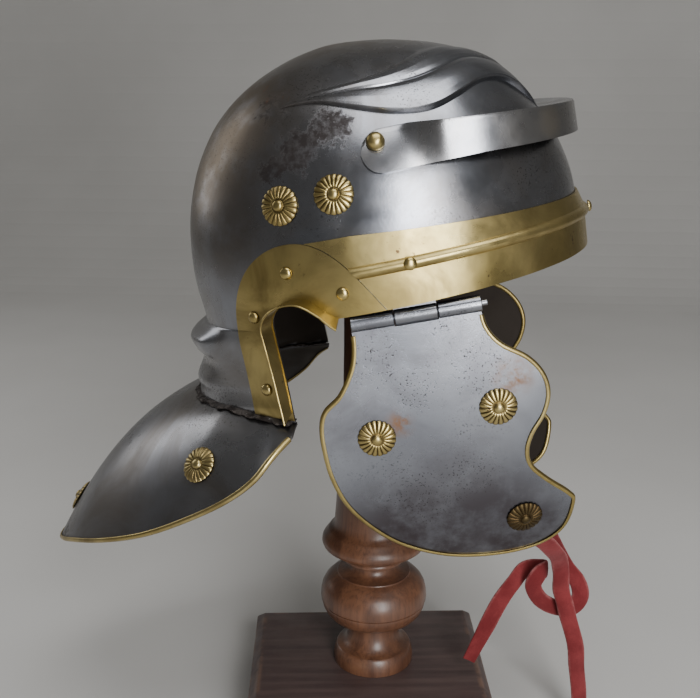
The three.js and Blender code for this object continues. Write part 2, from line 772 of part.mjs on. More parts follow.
function cheekBinding() {
  const start = 1; // the first point that is clear of the knuckles
  const inside = cheekPoints.filter((p, i) => i >= start && i < cheekPoints.length - start);
  const points = inside.map(({ x, z }) => cheekFace(x, z));
  const normals = inside.map(({ x, z }) => {
    const dx = cheekFace(x + 1, z).sub(cheekFace(x - 1, z));
    const dz = cheekFace(x, z + 1).sub(cheekFace(x, z - 1));
    return dx.cross(dz).normalize();
  });
  return channel(edgeStations(points, normals));
}

// The plate inside the rim that carries the middle knuckle. It lies against the bowl's inner face.
function hingePlate(frame) {
  const half = knuckle / 2 - knuckleGap / 2;
  const inverse = frame.matrixWorld.clone().invert();
  let innermost = -Infinity;
  for (const x of [-half, half])
    for (const up of [8, hingePlateHeight / 2, hingePlateHeight]) {
      const local = new THREE.Vector3(x, 0, up).applyMatrix4(frame.matrixWorld);
      const wall = sidePoint(local.x, local.z, -steel - 2 * seat).applyMatrix4(inverse);
      innermost = Math.max(innermost, wall.y);
    }
  const plate = new THREE.BoxGeometry(2 * half, brass, hingePlateHeight);
  plate.translate(0, innermost + brass / 2, hingePlateHeight / 2);
  const web = new THREE.BoxGeometry(2 * half, Math.abs(innermost) + brass, brass);
  web.translate(0, (innermost + brass) / 2, 0);
  return solid(plate)
    .add(solid(web))
    .add(barrel(-half, half, knuckleRadius, 16))
    .subtract(hingeBore);
}

// A fluted rosette with a boss, lying on the plane z = 0 of its own frame.
function rosette() {
  const columns = rosetteFlutes * 2;
  const rosetteRows = [
    { radius: 1, inner: 0.94, height: 0, valley: 0 },
    { radius: 0.86, inner: 0.84, height: 0.72, valley: 0.42 },
    { radius: 0.33, inner: 0.33, height: 0.8, valley: 0.8 },
    { radius: 0.2, inner: 0.2, height: 1.4, valley: 1.4 },
  ];
  const rings = rosetteRows.map(({ radius, inner, height, valley }) =>
    Array.from({ length: columns }, (_, j) => {
      const angle = (j / columns) * 2 * Math.PI;
      const r = rosetteRadius * (j % 2 ? inner : radius);
      return new THREE.Vector3(r * Math.cos(angle), r * Math.sin(angle), rosetteHeight * (j % 2 ? valley : height));
    }),
  );
  return loft(rings, fan(columns));
}

// A dome rivet head on the plane z = 0 of its own frame.
function dome(radius, height) {
  const profile = [
    [0, 0],
    [radius, 0],
    [radius * 0.92, height * 0.45],
    [radius * 0.55, height * 0.88],
    [0, height],
  ].map(([x, y]) => new THREE.Vector2(x, y));
  return solid(new THREE.LatheGeometry(profile, 10).rotateX(Math.PI / 2));
}

// Puts a piece on a face: its z = 0 plane at the point, its z axis along the normal.
function addOn(group, name, body, finish, point, normal) {
  const mesh = addMesh(group, name, body, finish);
  mesh.quaternion.setFromUnitVectors(new THREE.Vector3(0, 0, 1), normal);
  mesh.position.copy(point);
  return mesh;
}

// The face's point and normal on the right side of the bowl, with so much material on the bowl.
function onBowl(x, z, off) {
  const point = sidePoint(x, z, off);
  return { point, normal: sidePoint(x, z, off + 1).sub(point) };
}

const helmet = new THREE.Group();
helmet.rotation.y = -tilt;

addMesh(helmet, "bowl", bowl, steelFinish);
addMesh(helmet, "brow_band", browBand, brassFinish);
addMesh(helmet, "peak", peak(), steelFinish);
addMesh(helmet, "neck_guard", neckGuard, steelFinish);
addMesh(helmet, "neck_binding", neckBinding(), brassFinish);

// Gaps between a flat-backed piece and the curved face that carries it.
const rosetteSeat = 0.35;
const rivetSeat = 0.4;

const skullRosettes = [
  { name: "rear", x: -34, z: 63 },
  { name: "front", x: -4, z: 64 },
];
const earRivets = [
  { x: -37, z: 28 },
  { x: -9, z: 13 },
  { x: -61.8, z: 5.2 },
  { x: -64.5, z: -37.5 },
];
const cheekRosettes = [
  { name: "rear", x: -31.4, z: -66.4 },
  { name: "front", x: 37.3, z: -59.5 },
  { name: "chin", x: 45.7, z: -134.2 },
];

const hingeAlong = hingeFront.clone().sub(hingeRear).normalize();
const hingeAcross = new THREE.Vector3(0, 0, 1).cross(hingeAlong).normalize();
const hingeUp = hingeAlong.clone().cross(hingeAcross);

const chinHolds = {};

for (const [side, scale] of [["right", 1], ["left", -1]]) {
  const half = new THREE.Group();
  half.scale.y = scale;
  helmet.add(half);

  addMesh(half, `ear_guard_${side}`, earGuard, brassFinish);
  earRivets.forEach(({ x, z }, i) => {
    const { point, normal } = onBowl(x, z, seat + brass + rivetSeat);
    addOn(half, `ear_rivet_${side}_${i + 1}`, dome(rivetRadius, rivetHeight), brassFinish, point, normal);
  });
  for (const { name, x, z } of skullRosettes) {
    const { point, normal } = onBowl(x, z, rosetteSeat);
    addOn(half, `skull_rosette_${side}_${name}`, rosette(), brassFinish, point, normal);
  }

  const lobe = onBowl(lobeMiddle - 3, (peakTop + peakBottom) / 2 + 4, seat + steel + rivetSeat);
  addOn(half, `peak_rivet_${side}`, dome(peakRivetRadius, peakRivetHeight), brassFinish, lobe.point, lobe.normal);

  const bandTurn = Math.acos(28 / browReach);
  const band = onBowl(28, ridgeSide, bandOff(bandTurn) + ridgeDepth + rivetSeat);
  addOn(half, `band_rivet_${side}`, dome(rivetRadius, rivetHeight), brassFinish, band.point, band.normal);

  const hinge = new THREE.Group();
  hinge.matrixAutoUpdate = false;
  hinge.matrix.makeBasis(hingeAlong, hingeAcross, hingeUp);
  hinge.matrix.setPosition(hingeRear.clone().add(hingeFront).multiplyScalar(0.5));
  hinge.matrixWorld.copy(hinge.matrix);
  const hingeBody = hingePlate(hinge);
  half.add(hinge);
  addMesh(hinge, `hinge_plate_${side}`, hingeBody, steelFinish);
  const pinReach = hingeLength / 2 + pinEnd;
  addMesh(hinge, `hinge_pin_${side}`, barrel(-hingeLength / 2, pinReach, pinRadius, 10), steelFinish);
  addMesh(hinge, `cheek_guard_${side}`, cheekGuard(), steelFinish);
  addMesh(hinge, `cheek_binding_${side}`, cheekBinding(), brassFinish);
  for (const { name, x, z } of cheekRosettes) {
    const p = cheekFace(x, z);
    const dx = cheekFace(x + 1, z).sub(cheekFace(x - 1, z));
    const dz = cheekFace(x, z + 1).sub(cheekFace(x, z - 1));
    const normal = dx.cross(dz).normalize();
    if (normal.y > 0) normal.negate();
    const outer = p.clone().addScaledVector(normal, steel / 2 + rivetSeat);
    addOn(hinge, `cheek_rosette_${side}_${name}`, rosette(), brassFinish, outer, normal);
    if (name === "chin") chinHolds[side] = { hinge, p, normal };
  }
}

// The three rosettes on the neck guard.
const neckRosettes = [
  { name: "right", u: 0.215, v: 0.63 },
  { name: "rear", u: 0.5, v: 0.845 },
  { name: "left", u: 0.785, v: 0.63 },
];
for (const { name, u, v } of neckRosettes) {
  const { p, n } = onSurface(neckFace, u, v);
  addOn(helmet, `neck_rosette_${name}`, rosette(), brassFinish, p.addScaledVector(n, rosetteSeat), n);
}

// The rivet in the middle of the brow band.
const knob = bowlPoint(rowAt(ridgeFront), 0, bandOff(0) + ridgeDepth + rivetSeat);
addOn(helmet, "band_rivet_front", dome(rivetRadius, rivetHeight), brassFinish, knob, new THREE.Vector3(1, 0, 0));

// The crown's inner face above the post, measured from the rim's middle, carries the helmet.
function crownRise() {
  let low = 0;
  let high = 2 * bowlHeight;
  for (let i = 0; i < 40; i++) {
    const rise = (low + high) / 2;
    const x = rise * Math.sin(tilt);
    const inner = topPoint(x, 0, -steel);
    if (rise * Math.cos(tilt) < inner.z) low = rise;
    else high = rise;
  }
  return low;
}
const headGap = 0.7;
helmet.position.z = baseThickness + postHeight + headGap - crownRise();

// The turned post: radius and height are shares of the size that each row names.
const postRows = [
  { size: footRadius, radius: 0.99, height: 0.002 },
  { size: footRadius, radius: 1, height: 0.01 },
  { size: footRadius, radius: 0.92, height: 0.029 },
  { size: footRadius, radius: 0.7, height: 0.037 },
  { size: footRadius, radius: 0.59, height: 0.054 },
  { size: footRadius, radius: 0.59, height: 0.07 },
  { size: footRadius, radius: 0.67, height: 0.079 },
  { size: bulbRadius, radius: 0.85, height: 0.089 },
  { size: bulbRadius, radius: 0.96, height: 0.105 },
  { size: bulbRadius, radius: 1, height: 0.121 },
  { size: bulbRadius, radius: 0.97, height: 0.139 },
  { size: bulbRadius, radius: 0.84, height: 0.155 },
  { size: bulbRadius, radius: 0.68, height: 0.164 },
  { size: bulbRadius, radius: 0.44, height: 0.172 },
  { size: bulbRadius, radius: 0.43, height: 0.18 },
  { size: collarRadius, radius: 0.6, height: 0.19 },
  { size: collarRadius, radius: 0.65, height: 0.2 },
  { size: collarRadius, radius: 0.89, height: 0.21 },
  { size: collarRadius, radius: 1, height: 0.222 },
  { size: collarRadius, radius: 0.89, height: 0.239 },
  { size: shaftRadius, radius: 1.2, height: 0.253 },
  { size: shaftRadius, radius: 1.13, height: 0.3 },
  { size: shaftRadius, radius: 1, height: 0.39 },
  { size: shaftRadius, radius: 0.9, height: 0.62 },
  { size: shaftRadius, radius: 1, height: 0.72 },
];

function post() {
  const profile = [new THREE.Vector2(0, seat)];
  for (const { size, radius, height } of postRows)
    profile.push(new THREE.Vector2(size * radius, Math.max(height * postHeight, seat)));
  profile[1].y = seat;
  const headSteps = 6;
  for (let i = 0; i <= headSteps; i++) {
    const angle = -0.9 + ((Math.PI / 2 + 0.9) * i) / headSteps;
    const r = i === headSteps ? 0 : headRadius * Math.cos(angle);
    profile.push(new THREE.Vector2(r, postHeight - headRadius + headRadius * Math.sin(angle)));
  }
  return solid(new THREE.LatheGeometry(profile, 16).rotateX(Math.PI / 2).translate(0, 0, baseThickness));
}

function board() {
  const w = baseWidth / 2;
  const d = baseDepth / 2;
  const ring = (inset, z) =>
    [[-1, -1], [1, -1], [1, 1], [-1, 1]].map(([x, y]) => new THREE.Vector3(x * (w - inset), y * (d - inset), z));
  return loft([ring(0, 0), ring(0, baseThickness - baseBevel), ring(baseBevel, baseThickness)], fan(4));
}

const helmetOnStand = new THREE.Group();
helmetOnStand.add(helmet);
addMesh(helmetOnStand, "stand_post", post(), postFinish);
const boardMesh = addMesh(helmetOnStand, "stand_base", board(), boardFinish);
boardMesh.rotation.z = baseTurn;
boardMesh.position.x = -baseShift;
helmetOnStand.updateMatrixWorld(true);

// The free run of each lace, from below the cheek guard through the knot to its loose end. side
// is the direction of the lace's width.
const laceRuns = {
  right: [
    { x: 104, y: -50, z: 148, side: [1, 0.3, 0.2] },
    { x: 116, y: -24, z: 116, side: [1, 0.3, 0.3] },
    { x: 123, y: -11, z: 101, side: [1, 0, 0.2] },
    { x: 130, y: -9.5, z: 92, side: [1, 0, 0.4] },
    { x: 135, y: -9.5, z: 78, side: [1, 0, 0.2] },
    { x: 139, y: -10, z: 56, side: [1, 0.2, 0.1] },
    { x: 142, y: -11, z: 34, side: [1, 0.4, 0] },
    { x: 144, y: -12, z: 6, side: [1, 0.5, 0] },
  ],
  left: [
    { x: 107, y: 50, z: 150, side: [1, -0.3, 0] },
    { x: 119, y: 18, z: 122, side: [1, -0.2, 0] },
    { x: 123, y: -4, z: 110, side: [1, 0, 0.3] },
    { x: 115, y: -6.5, z: 110, side: [0.6, 0, 1] },
    { x: 103, y: -8, z: 114, side: [0.2, 0, 1] },
    { x: 92, y: -12, z: 107, side: [-0.6, 0, 1] },
    { x: 81, y: -16, z: 86, side: [-1, 0, 0.6] },
    { x: 66, y: -20, z: 52, side: [-1, 0, 0.45] },
  ],
};

function lace(side) {
  const { hinge, p, normal } = chinHolds[side];
  const onPlate = steel / 2 + seat + laceThickness / 2;
  const overEdge = onPlate + edging + 2 * seat;
  const points = [];
  const sides = [];
  for (const { x, z, off } of [
    { x: p.x, z: p.z, off: onPlate + 0.2 },
    { x: p.x + 4, z: p.z - 12, off: onPlate + 0.8 },
    { x: p.x + 9, z: -cheekLength + 3, off: overEdge + 0.4 },
  ]) {
    const q = cheekFace(x, z).addScaledVector(normal, -off);
    points.push(q.applyMatrix4(hinge.matrixWorld));
    sides.push(new THREE.Vector3(1, 0, 0.35).transformDirection(hinge.matrixWorld));
  }
  for (const run of laceRuns[side]) {
    points.push(new THREE.Vector3(run.x, run.y, run.z));
    sides.push(new THREE.Vector3(...run.side).normalize());
  }
  const middle = new THREE.CatmullRomCurve3(points);
  const turning = new THREE.CatmullRomCurve3(sides);
  const steps = 30;
  const rings = [];
  for (let i = 0; i <= steps; i++) {
    const at = middle.getPoint(i / steps);
    const along = middle.getTangent(i / steps);
    const flat = turning.getPoint(i / steps).cross(along).normalize();
    const wide = along.clone().cross(flat).normalize();
    rings.push(
      [[-1, -1], [1, -1], [1, 1], [-1, 1]].map(([w, t]) =>
        at.clone().addScaledVector(wide, (w * laceWidth) / 2).addScaledVector(flat, (t * laceThickness) / 2),
      ),
    );
  }
  return loft(rings, fan(4));
}
addMesh(helmetOnStand, "lace_right", lace("right"), laceFinish);
addMesh(helmetOnStand, "lace_left", lace("left"), laceFinish);

export default helmetOnStand;
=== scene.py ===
import math
import bpy
import numpy as np
from mathutils import Matrix, Vector


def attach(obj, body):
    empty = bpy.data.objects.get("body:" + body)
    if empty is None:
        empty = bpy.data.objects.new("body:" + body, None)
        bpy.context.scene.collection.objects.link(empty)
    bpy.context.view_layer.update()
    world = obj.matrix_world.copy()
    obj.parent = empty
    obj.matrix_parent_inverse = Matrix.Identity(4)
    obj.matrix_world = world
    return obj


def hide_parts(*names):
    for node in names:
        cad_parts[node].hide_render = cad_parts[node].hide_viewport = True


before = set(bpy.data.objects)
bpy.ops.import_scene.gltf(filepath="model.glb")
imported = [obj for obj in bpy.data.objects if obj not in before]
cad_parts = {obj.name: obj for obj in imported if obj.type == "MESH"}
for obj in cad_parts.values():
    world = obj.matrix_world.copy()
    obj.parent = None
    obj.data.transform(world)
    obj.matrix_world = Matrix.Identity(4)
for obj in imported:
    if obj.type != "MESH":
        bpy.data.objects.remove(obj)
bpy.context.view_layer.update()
bpy.ops.object.select_all(action="DESELECT")

# The camera stands on the helmet's right, level with the top of the bowl, and looks a little down
# on the bowl, the near cheek guard and the stand.
EYE = (0.0358, -0.595, 0.430)
LOOK_DOWN = math.radians(16)
LOOK_TURN = math.radians(5)
bpy.ops.object.camera_add(location=EYE, rotation=(math.pi / 2 - LOOK_DOWN, 0, LOOK_TURN))
camera = bpy.context.object
camera.data.lens = 50
camera.data.sensor_width = 36
bpy.context.scene.camera = camera

# Two flat laces of red suede, one riveted inside each cheek guard. They are tied below the chin,
# and their loose ends hang down in front of the post.
LACE_WIDTH = 0.011
LACE_THICKNESS = 0.0022
LACE_WAVE = 0.00022
LACE_BOW = 0.0006
LACE_CURL = 0.0003
LACE_END = 0.06
LACE_END_TAPER = 0.22
# Points along each lace, and the way that its flat side faces there.
LACE_ROUTES = {
    "lace_right": [
        ((0.0925, -0.0670, 0.1795), (1, 0.1, 0.3)),
        ((0.0975, -0.0600, 0.1645), (1, 0.2, 0.3)),
        ((0.1100, -0.0480, 0.1500), (1, 0.3, 0.2)),
        ((0.1175, -0.0360, 0.1370), (1, 0.3, 0.2)),
        ((0.1215, -0.0270, 0.1240), (1, 0.2, 0.2)),
        ((0.1225, -0.0235, 0.1110), (1, 0.1, 0.2)),
        ((0.1245, -0.0225, 0.1010), (1, 0, 0.2)),
        ((0.1275, -0.0225, 0.0910), (1, 0, 0.3)),
        ((0.1345, -0.0210, 0.0665), (1, 0.1, 0.2)),
        ((0.1375, -0.0190, 0.0465), (1, 0.2, 0.1)),
        ((0.1405, -0.0175, 0.0230), (1, 0.4, 0.15)),
        ((0.1415, -0.0165, 0.0060), (1, 0.5, 0.1)),
    ],
    "lace_left": [
        ((0.0925, 0.0670, 0.1795), (1, -0.1, 0.3)),
        ((0.0975, 0.0600, 0.1645), (1, -0.2, 0.3)),
        ((0.1090, 0.0440, 0.1480), (1, -0.2, 0.1)),
        ((0.1165, 0.0190, 0.1300), (1, -0.2, 0.1)),
        ((0.1265, -0.0040, 0.1160), (1, -0.2, 0.4)),
        ((0.1345, -0.0110, 0.1070), (0.9, 0, 0.5)),
        ((0.1370, -0.0150, 0.0975), (1, 0, -0.15)),
        ((0.1315, -0.0170, 0.0900), (0.5, 0, -1)),
        ((0.1205, -0.0165, 0.0900), (-0.25, 0, -1)),
        ((0.1105, -0.0185, 0.0960), (-0.8, 0, -0.6)),
        ((0.1055, -0.0200, 0.1065), (-1, 0, 0.1)),
        ((0.1090, -0.0190, 0.1150), (-0.6, 0, 0.8)),
        ((0.1145, -0.0140, 0.1165), (0, 0.2, 1)),
        ((0.1110, -0.0085, 0.1140), (-0.1, 0.8, 1)),
        ((0.1000, -0.0100, 0.1130), (-0.3, 0.2, 1)),
        ((0.0925, -0.0140, 0.1050), (-0.6, 0, 0.9)),
        ((0.0845, -0.0165, 0.0920), (-1, 0, 0.6)),
        ((0.0760, -0.0185, 0.0740), (-1, 0, 0.5)),
        ((0.0655, -0.0205, 0.0500), (-1, 0, 0.45)),
    ],
}


def deselect():
    bpy.ops.object.select_all(action="DESELECT")


def settle(piece, name, finish, slot, *nodes, angle=35):
    """Gives a piece its finish, place and name, in the room of the solids that it stands for."""
    deselect()
    piece.select_set(True)
    bpy.context.view_layer.objects.active = piece
    bpy.ops.object.shade_smooth_by_angle(angle=math.radians(angle))
    bpy.ops.object.transform_apply(location=True, rotation=True, scale=True)
    piece.data.materials.clear()
    piece.data.materials.append(finish)
    piece.data.polygons.foreach_set("material_index", np.zeros(len(piece.data.polygons), np.int32))
    piece.name = name
    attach(piece, "root")
    if nodes:
        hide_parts(*nodes)
    return piece


def close_up(piece):
    """Merges a piece's doubles, fills its open ends and turns its faces outwards."""
    deselect()
    piece.select_set(True)
    bpy.context.view_layer.objects.active = piece
    bpy.ops.object.mode_set(mode="EDIT")
    bpy.ops.mesh.select_all(action="SELECT")
    bpy.ops.mesh.remove_doubles(threshold=1e-6)
    bpy.ops.mesh.select_all(action="DESELECT")
    bpy.ops.mesh.select_non_manifold()
    bpy.ops.mesh.fill_holes(sides=0)
    bpy.ops.mesh.select_all(action="SELECT")
    bpy.ops.mesh.normals_make_consistent(inside=False)
    bpy.ops.object.mode_set(mode="OBJECT")
    return piece


def points_of(piece):
    """Where the points of a piece lie, one row each."""
    flat = np.empty(len(piece.data.vertices) * 3)
    piece.data.vertices.foreach_get("co", flat)
    return flat.reshape(-1, 3)


def move_points(piece, places):
    """Puts each point of a piece where its row says."""
    piece.data.vertices.foreach_set("co", np.ascontiguousarray(places).ravel())
    piece.data.update()
    return piece


def net(columns, runs, place):
    """A grid whose points place(u, v) sets, both from 0 to 1, in metres of the shared frame."""
    bpy.ops.mesh.primitive_grid_add(x_subdivisions=columns, y_subdivisions=runs, size=1)
    piece = bpy.context.object
    u, v = points_of(piece)[:, :2].T + 0.5
    return move_points(piece, place(u, v))


def through(points, share):
    """Where a smooth curve through the points is at each share of its way, from 0 to 1."""
    points = np.asarray(points, float)
    spans = len(points) - 1
    at = np.clip(np.asarray(share, float), 0, 1) * spans
    i = np.minimum(at.astype(int), spans - 1)
    s = (at - i)[..., None]
    before = np.where((i > 0)[..., None], points[np.maximum(i - 1, 0)], 2 * points[0] - points[1])
    last = 2 * points[-1] - points[-2]
    after = np.where((i + 2 <= spans)[..., None], points[np.minimum(i + 2, spans)], last)
    b, c = points[i], points[i + 1]
    return 0.5 * (
        2 * b
        + (c - before) * s
        + (2 * before - 5 * b + 4 * c - after) * s**2
        + (3 * b - before - 3 * c + after) * s**3
    )


def unit(ways):
    """The same ways, each made 1 long."""
    ways = np.asarray(ways, float)
    return ways / np.maximum(np.linalg.norm(ways, axis=-1, keepdims=True), 1e-12)


def skin(rings):
    """A closed piece through rings of points, each ring with as many points as the others."""
    rings = np.asarray(rings, float)
    rings = np.concatenate([rings, rings[:, :1]], 1)
    columns, runs = rings.shape[0] - 1, rings.shape[1] - 1

    def place(u, v):
        return rings[np.round(u * columns).astype(int), np.round(v * runs).astype(int)]

    return close_up(net(columns, runs, place))


class Finish:
    """A node material that is built up step by step on Object coordinates."""

    def __init__(self, name, colour, metallic, roughness):
        self.material = bpy.data.materials.new(name)
        self.material.use_nodes = True
        self.tree = self.material.node_tree
        self.shader = self.tree.nodes["Principled BSDF"]
        self.shader.inputs["Base Color"].default_value = (*colour, 1)
        self.shader.inputs["Metallic"].default_value = metallic
        self.shader.inputs["Roughness"].default_value = roughness
        self.place = self.tree.nodes.new("ShaderNodeTexCoord").outputs["Object"]

    def node(self, kind, values=None, **settings):
        made = self.tree.nodes.new(kind)
        for key, value in settings.items():
            setattr(made, key, value)
        for key, value in (values or {}).items():
            if isinstance(value, bpy.types.NodeSocket):
                self.tree.links.new(value, made.inputs[key])
            else:
                made.inputs[key].default_value = value
        return made

    def to(self, socket, value):
        self.tree.links.new(value, self.shader.inputs[socket])

    def noise(self, scale, detail=4, rough=0.55, stretch=(1, 1, 1), distortion=0):
        where = self.node("ShaderNodeMapping", {"Vector": self.place, "Scale": stretch})
        return self.node(
            "ShaderNodeTexNoise",
            {"Vector": where.outputs[0], "Scale": scale, "Detail": detail, "Roughness": rough,
             "Distortion": distortion},
        ).outputs["Fac"]

    def band(self, value, low, high, to_low=0, to_high=1):
        """A smooth step from to_low at low to to_high at high."""
        return self.node(
            "ShaderNodeMapRange",
            {"Value": value, "From Min": low, "From Max": high, "To Min": to_low, "To Max": to_high},
            interpolation_type="SMOOTHSTEP",
        ).outputs["Result"]

    def math(self, operation, a, b):
        return self.node("ShaderNodeMath", {0: a, 1: b}, operation=operation).outputs[0]

    def near(self, centre, radius, soft=0.5):
        """1 round a point of the shared frame, falling to 0 at the radius."""
        away = self.node("ShaderNodeVectorMath", {0: self.place, 1: centre}, operation="DISTANCE")
        return self.band(away.outputs["Value"], radius, radius * soft)

    def mix(self, share, a, b):
        made = self.node("ShaderNodeMix", data_type="RGBA")
        for key, value in ((0, share), (6, a), (7, b)):
            if isinstance(value, bpy.types.NodeSocket):
                self.tree.links.new(value, made.inputs[key])
            else:
                made.inputs[key].default_value = value if key == 0 else (*value, 1)
        return made.outputs[2]

    def attribute(self, name):
        return self.node("ShaderNodeAttribute", attribute_name=name).outputs["Fac"]

    def bump(self, height, strength, depth):
        normal = self.shader.inputs["Normal"]
        values = {"Height": height, "Strength": strength, "Distance": depth}
        if normal.is_linked:
            values["Normal"] = normal.links[0].from_socket
        self.to("Normal", self.node("ShaderNodeBump", values).outputs["Normal"])


def suede():
    """Blotchy red suede with a dark nap, rubbed pink along its edges."""
    f = Finish("red_suede", (0.36, 0.04, 0.045), 0, 0.95)
    blotch = f.band(f.noise(60, 3), 0.35, 0.7)
    cloth = f.mix(blotch, (0.14, 0.018, 0.02), (0.21, 0.033, 0.035))
    nap = f.noise(1500, 2)
    worn = f.math("MULTIPLY", f.attribute("rim"), f.band(f.noise(420, 3), 0.35, 0.65, 0.2, 0.8))
    dark = f.mix(f.band(nap, 0.3, 0.8, 0, 0.4), cloth, (0.09, 0.009, 0.011))
    f.to("Base Color", f.mix(worn, dark, (0.33, 0.12, 0.115)))
    f.shader.inputs["Sheen Weight"].default_value = 0.2
    f.shader.inputs["Sheen Roughness"].default_value = 0.5
    f.shader.inputs["Sheen Tint"].default_value = (1, 0.6, 0.6, 1)
    f.shader.inputs["Specular IOR Level"].default_value = 0.15
    f.bump(nap, 0.5, 0.0003)
    f.bump(f.noise(220, 4), 0.4, 0.0006)
    return f.material


def paint(piece, name, values):
    """Stores one number for each point of a piece, for its material."""
    layer = piece.data.attributes.new(name, "FLOAT", "POINT")
    layer.data.foreach_set("value", np.ascontiguousarray(values, dtype=np.float32))


def lace(name, route):
    """A flat strip along its route, a little wavy, dished across and narrower at its loose end."""
    u = np.linspace(0, 1, 241)
    places = [point for point, _ in route]
    faces = [unit(way) for _, way in route]
    centre = through(places, u)
    along = unit(through(places, u + 1e-3) - through(places, u - 1e-3))
    flat = unit(np.cross(through(faces, u), along))
    wide = np.cross(along, flat)
    turn = np.arange(16) / 16 * 2 * np.pi
    across = np.sign(np.cos(turn)) * np.abs(np.cos(turn)) ** 0.35
    thick = np.sign(np.sin(turn)) * np.abs(np.sin(turn)) ** 0.6
    half = LACE_WIDTH / 2 + LACE_WAVE * np.sin(u[:, None] * 43 + across)
    half = half * (1 - LACE_END_TAPER * np.clip((u[:, None] - 1 + LACE_END) / LACE_END, 0, 1))
    bow = LACE_CURL * np.sin(u * 37 + 2)[:, None] + LACE_BOW * across**2
    piece = skin(centre[:, None] + wide[:, None] * (across * half)[..., None]
                 + flat[:, None] * (thick * LACE_THICKNESS / 2 + bow)[..., None])
    at = points_of(piece)
    nearest = np.argmin(np.linalg.norm(at[:, None] - centre, axis=2), 1)
    off = np.abs(np.sum((at - centre[nearest]) * wide[nearest], 1))
    paint(piece, "rim", np.clip((off / LACE_WIDTH * 2 - 0.86) / 0.1, 0, 1))
    settle(piece, name + "_suede", SUEDE, "lace", name, angle=60)
    path = [tuple(point) for point in through(places, np.linspace(0, 1, 40))]
    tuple(places[0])


SUEDE = suede()
for lace_name, lace_route in LACE_ROUTES.items():
    lace(lace_name, lace_route)


# The bowl is raised from one sheet of steel. It leans back on the post. Its nape is drawn out in
# ribs, its front carries two embossed eyebrows, and its rim is cut away round the ears.
TILT = math.radians(11.5)
RIM_HEIGHT = 0.30613
STEEL = 0.0016
BRASS = 0.001
SEAT = 0.0003
BROW_REACH = 0.127
SKULL_REACH = 0.1095
HALF_WIDTH = 0.097
BOWL_HEIGHT = 0.141
NAPE_DROP = 0.049
NAPE_FLARE = 0.016
RIB_DEPTH = 0.008
RIB_SPAN = math.radians(28)
RIB_FADE = math.radians(40)
SKIRT = 0.013
NAPE_SLOPE = 0.009
SLOPE_START = 0.095
SLOPE_END = 0.050

# Rows of the nape from its foot up, as shares of its drop, flare, rib depth and half width.
NAPE_ROWS = [
    (1, 1, 0, 0.965),
    (0.88, 0.78, 0.3, 0.963),
    (0.76, 0.62, 0.6, 0.965),
    (0.52, 0.5, 0, 0.966),
    (0.37, 0.4, 0.65, 0.975),
    (0.22, 0.3, 1, 0.985),
    (0.08, 0.1, 0.1, 0.993),
]
# Rows of the skull from the rim up, as shares of its height, front reach, back reach and half width.
SKULL_ROWS = [
    (0, 0.995, 0.99, 1),
    (0.15, 1, 1, 1),
    (0.3, 0.994, 0.982, 0.985),
    (0.43, 0.963, 0.945, 0.95),
    (0.53, 0.918, 0.898, 0.905),
    (0.63, 0.86, 0.835, 0.84),
    (0.73, 0.783, 0.745, 0.75),
    (0.8, 0.715, 0.66, 0.67),
    (0.865, 0.615, 0.55, 0.565),
    (0.92, 0.48, 0.42, 0.445),
    (0.96, 0.33, 0.285, 0.31),
    (0.985, 0.19, 0.16, 0.175),
    (1, 0, 0, 0),
]
ROWS = np.array(
    [
        (-NAPE_DROP * drop, BROW_REACH * SKULL_ROWS[0][1],
         SKULL_REACH * SKULL_ROWS[0][2] + NAPE_FLARE * flare, RIB_DEPTH * rib, HALF_WIDTH * width)
        for drop, flare, rib, width in NAPE_ROWS
    ]
    + [
        (BOWL_HEIGHT * height, BROW_REACH * front, SKULL_REACH * back, 0, HALF_WIDTH * width)
        for height, front, back, width in SKULL_ROWS
    ]
)
CROWN = len(ROWS) - 1
MIRRORED = ROWS[CROWN - 1] * [1, -1, -1, 1, -1]


def section(t):
    """Height, front, back, rib and half width of the bowl at row t, which may lie between rows."""
    t = np.asarray(t, float)
    i = np.clip(np.floor(t).astype(int), 0, CROWN - 1)
    s = np.clip(t - i, 0, 1)[..., None]
    a = ROWS[np.maximum(i - 1, 0)]
    b, c = ROWS[i], ROWS[i + 1]
    d = np.where((i + 2 > CROWN)[..., None], MIRRORED, ROWS[np.minimum(i + 2, CROWN)])
    m0, m1 = (c - a) / 2, (d - b) / 2
    mixed = ((2 * s**3 - 3 * s**2 + 1) * b + (s**3 - 2 * s**2 + s) * m0
             + (3 * s**2 - 2 * s**3) * c + (s**3 - s**2) * m1)
    mixed[..., 0] += SKIRT * np.minimum(t, 0)
    return mixed


def bowl_face(t, turn):
    """A point of the bowl's outer face in the helmet's own frame; turn is 0 at the front."""
    z, front, back, rib, width = np.moveaxis(section(t), -1, 0)
    from_back = np.pi - np.abs(np.arctan2(np.sin(turn), np.cos(turn)))
    fade = np.clip((from_back - RIB_SPAN) / (RIB_FADE - RIB_SPAN), 0, 1)
    ribs = rib * (1 - fade**2 * (3 - 2 * fade))
    forward = np.cos(turn)
    reach = np.where(forward > 0, front, back + ribs)
    return np.stack([reach * forward, width * np.sin(turn), z], -1)


def bowl_point(t, turn, off):
    """A point that stands off the bowl's outer face along its normal."""
    t, turn = np.broadcast_arrays(np.asarray(t, float), np.asarray(turn, float))
    step = 1e-3
    up = np.minimum(t, CROWN - 2 * step)
    along = bowl_face(up + step, turn) - bowl_face(up - step, turn)
    around = bowl_face(up, turn + step) - bowl_face(up, turn - step)
    normal = unit(np.cross(around, along))
    normal[t > CROWN - 2 * step] = (0, 0, 1)
    return bowl_face(t, turn) + normal * np.asarray(off)[..., None]


FINE_ROWS = np.linspace(-1, CROWN, 6000)
FINE_HEIGHTS = section(FINE_ROWS)[:, 0]


def row_at(z):
    """The row of the bowl at a height of its own frame."""
    return np.interp(z, FINE_HEIGHTS, FINE_ROWS)


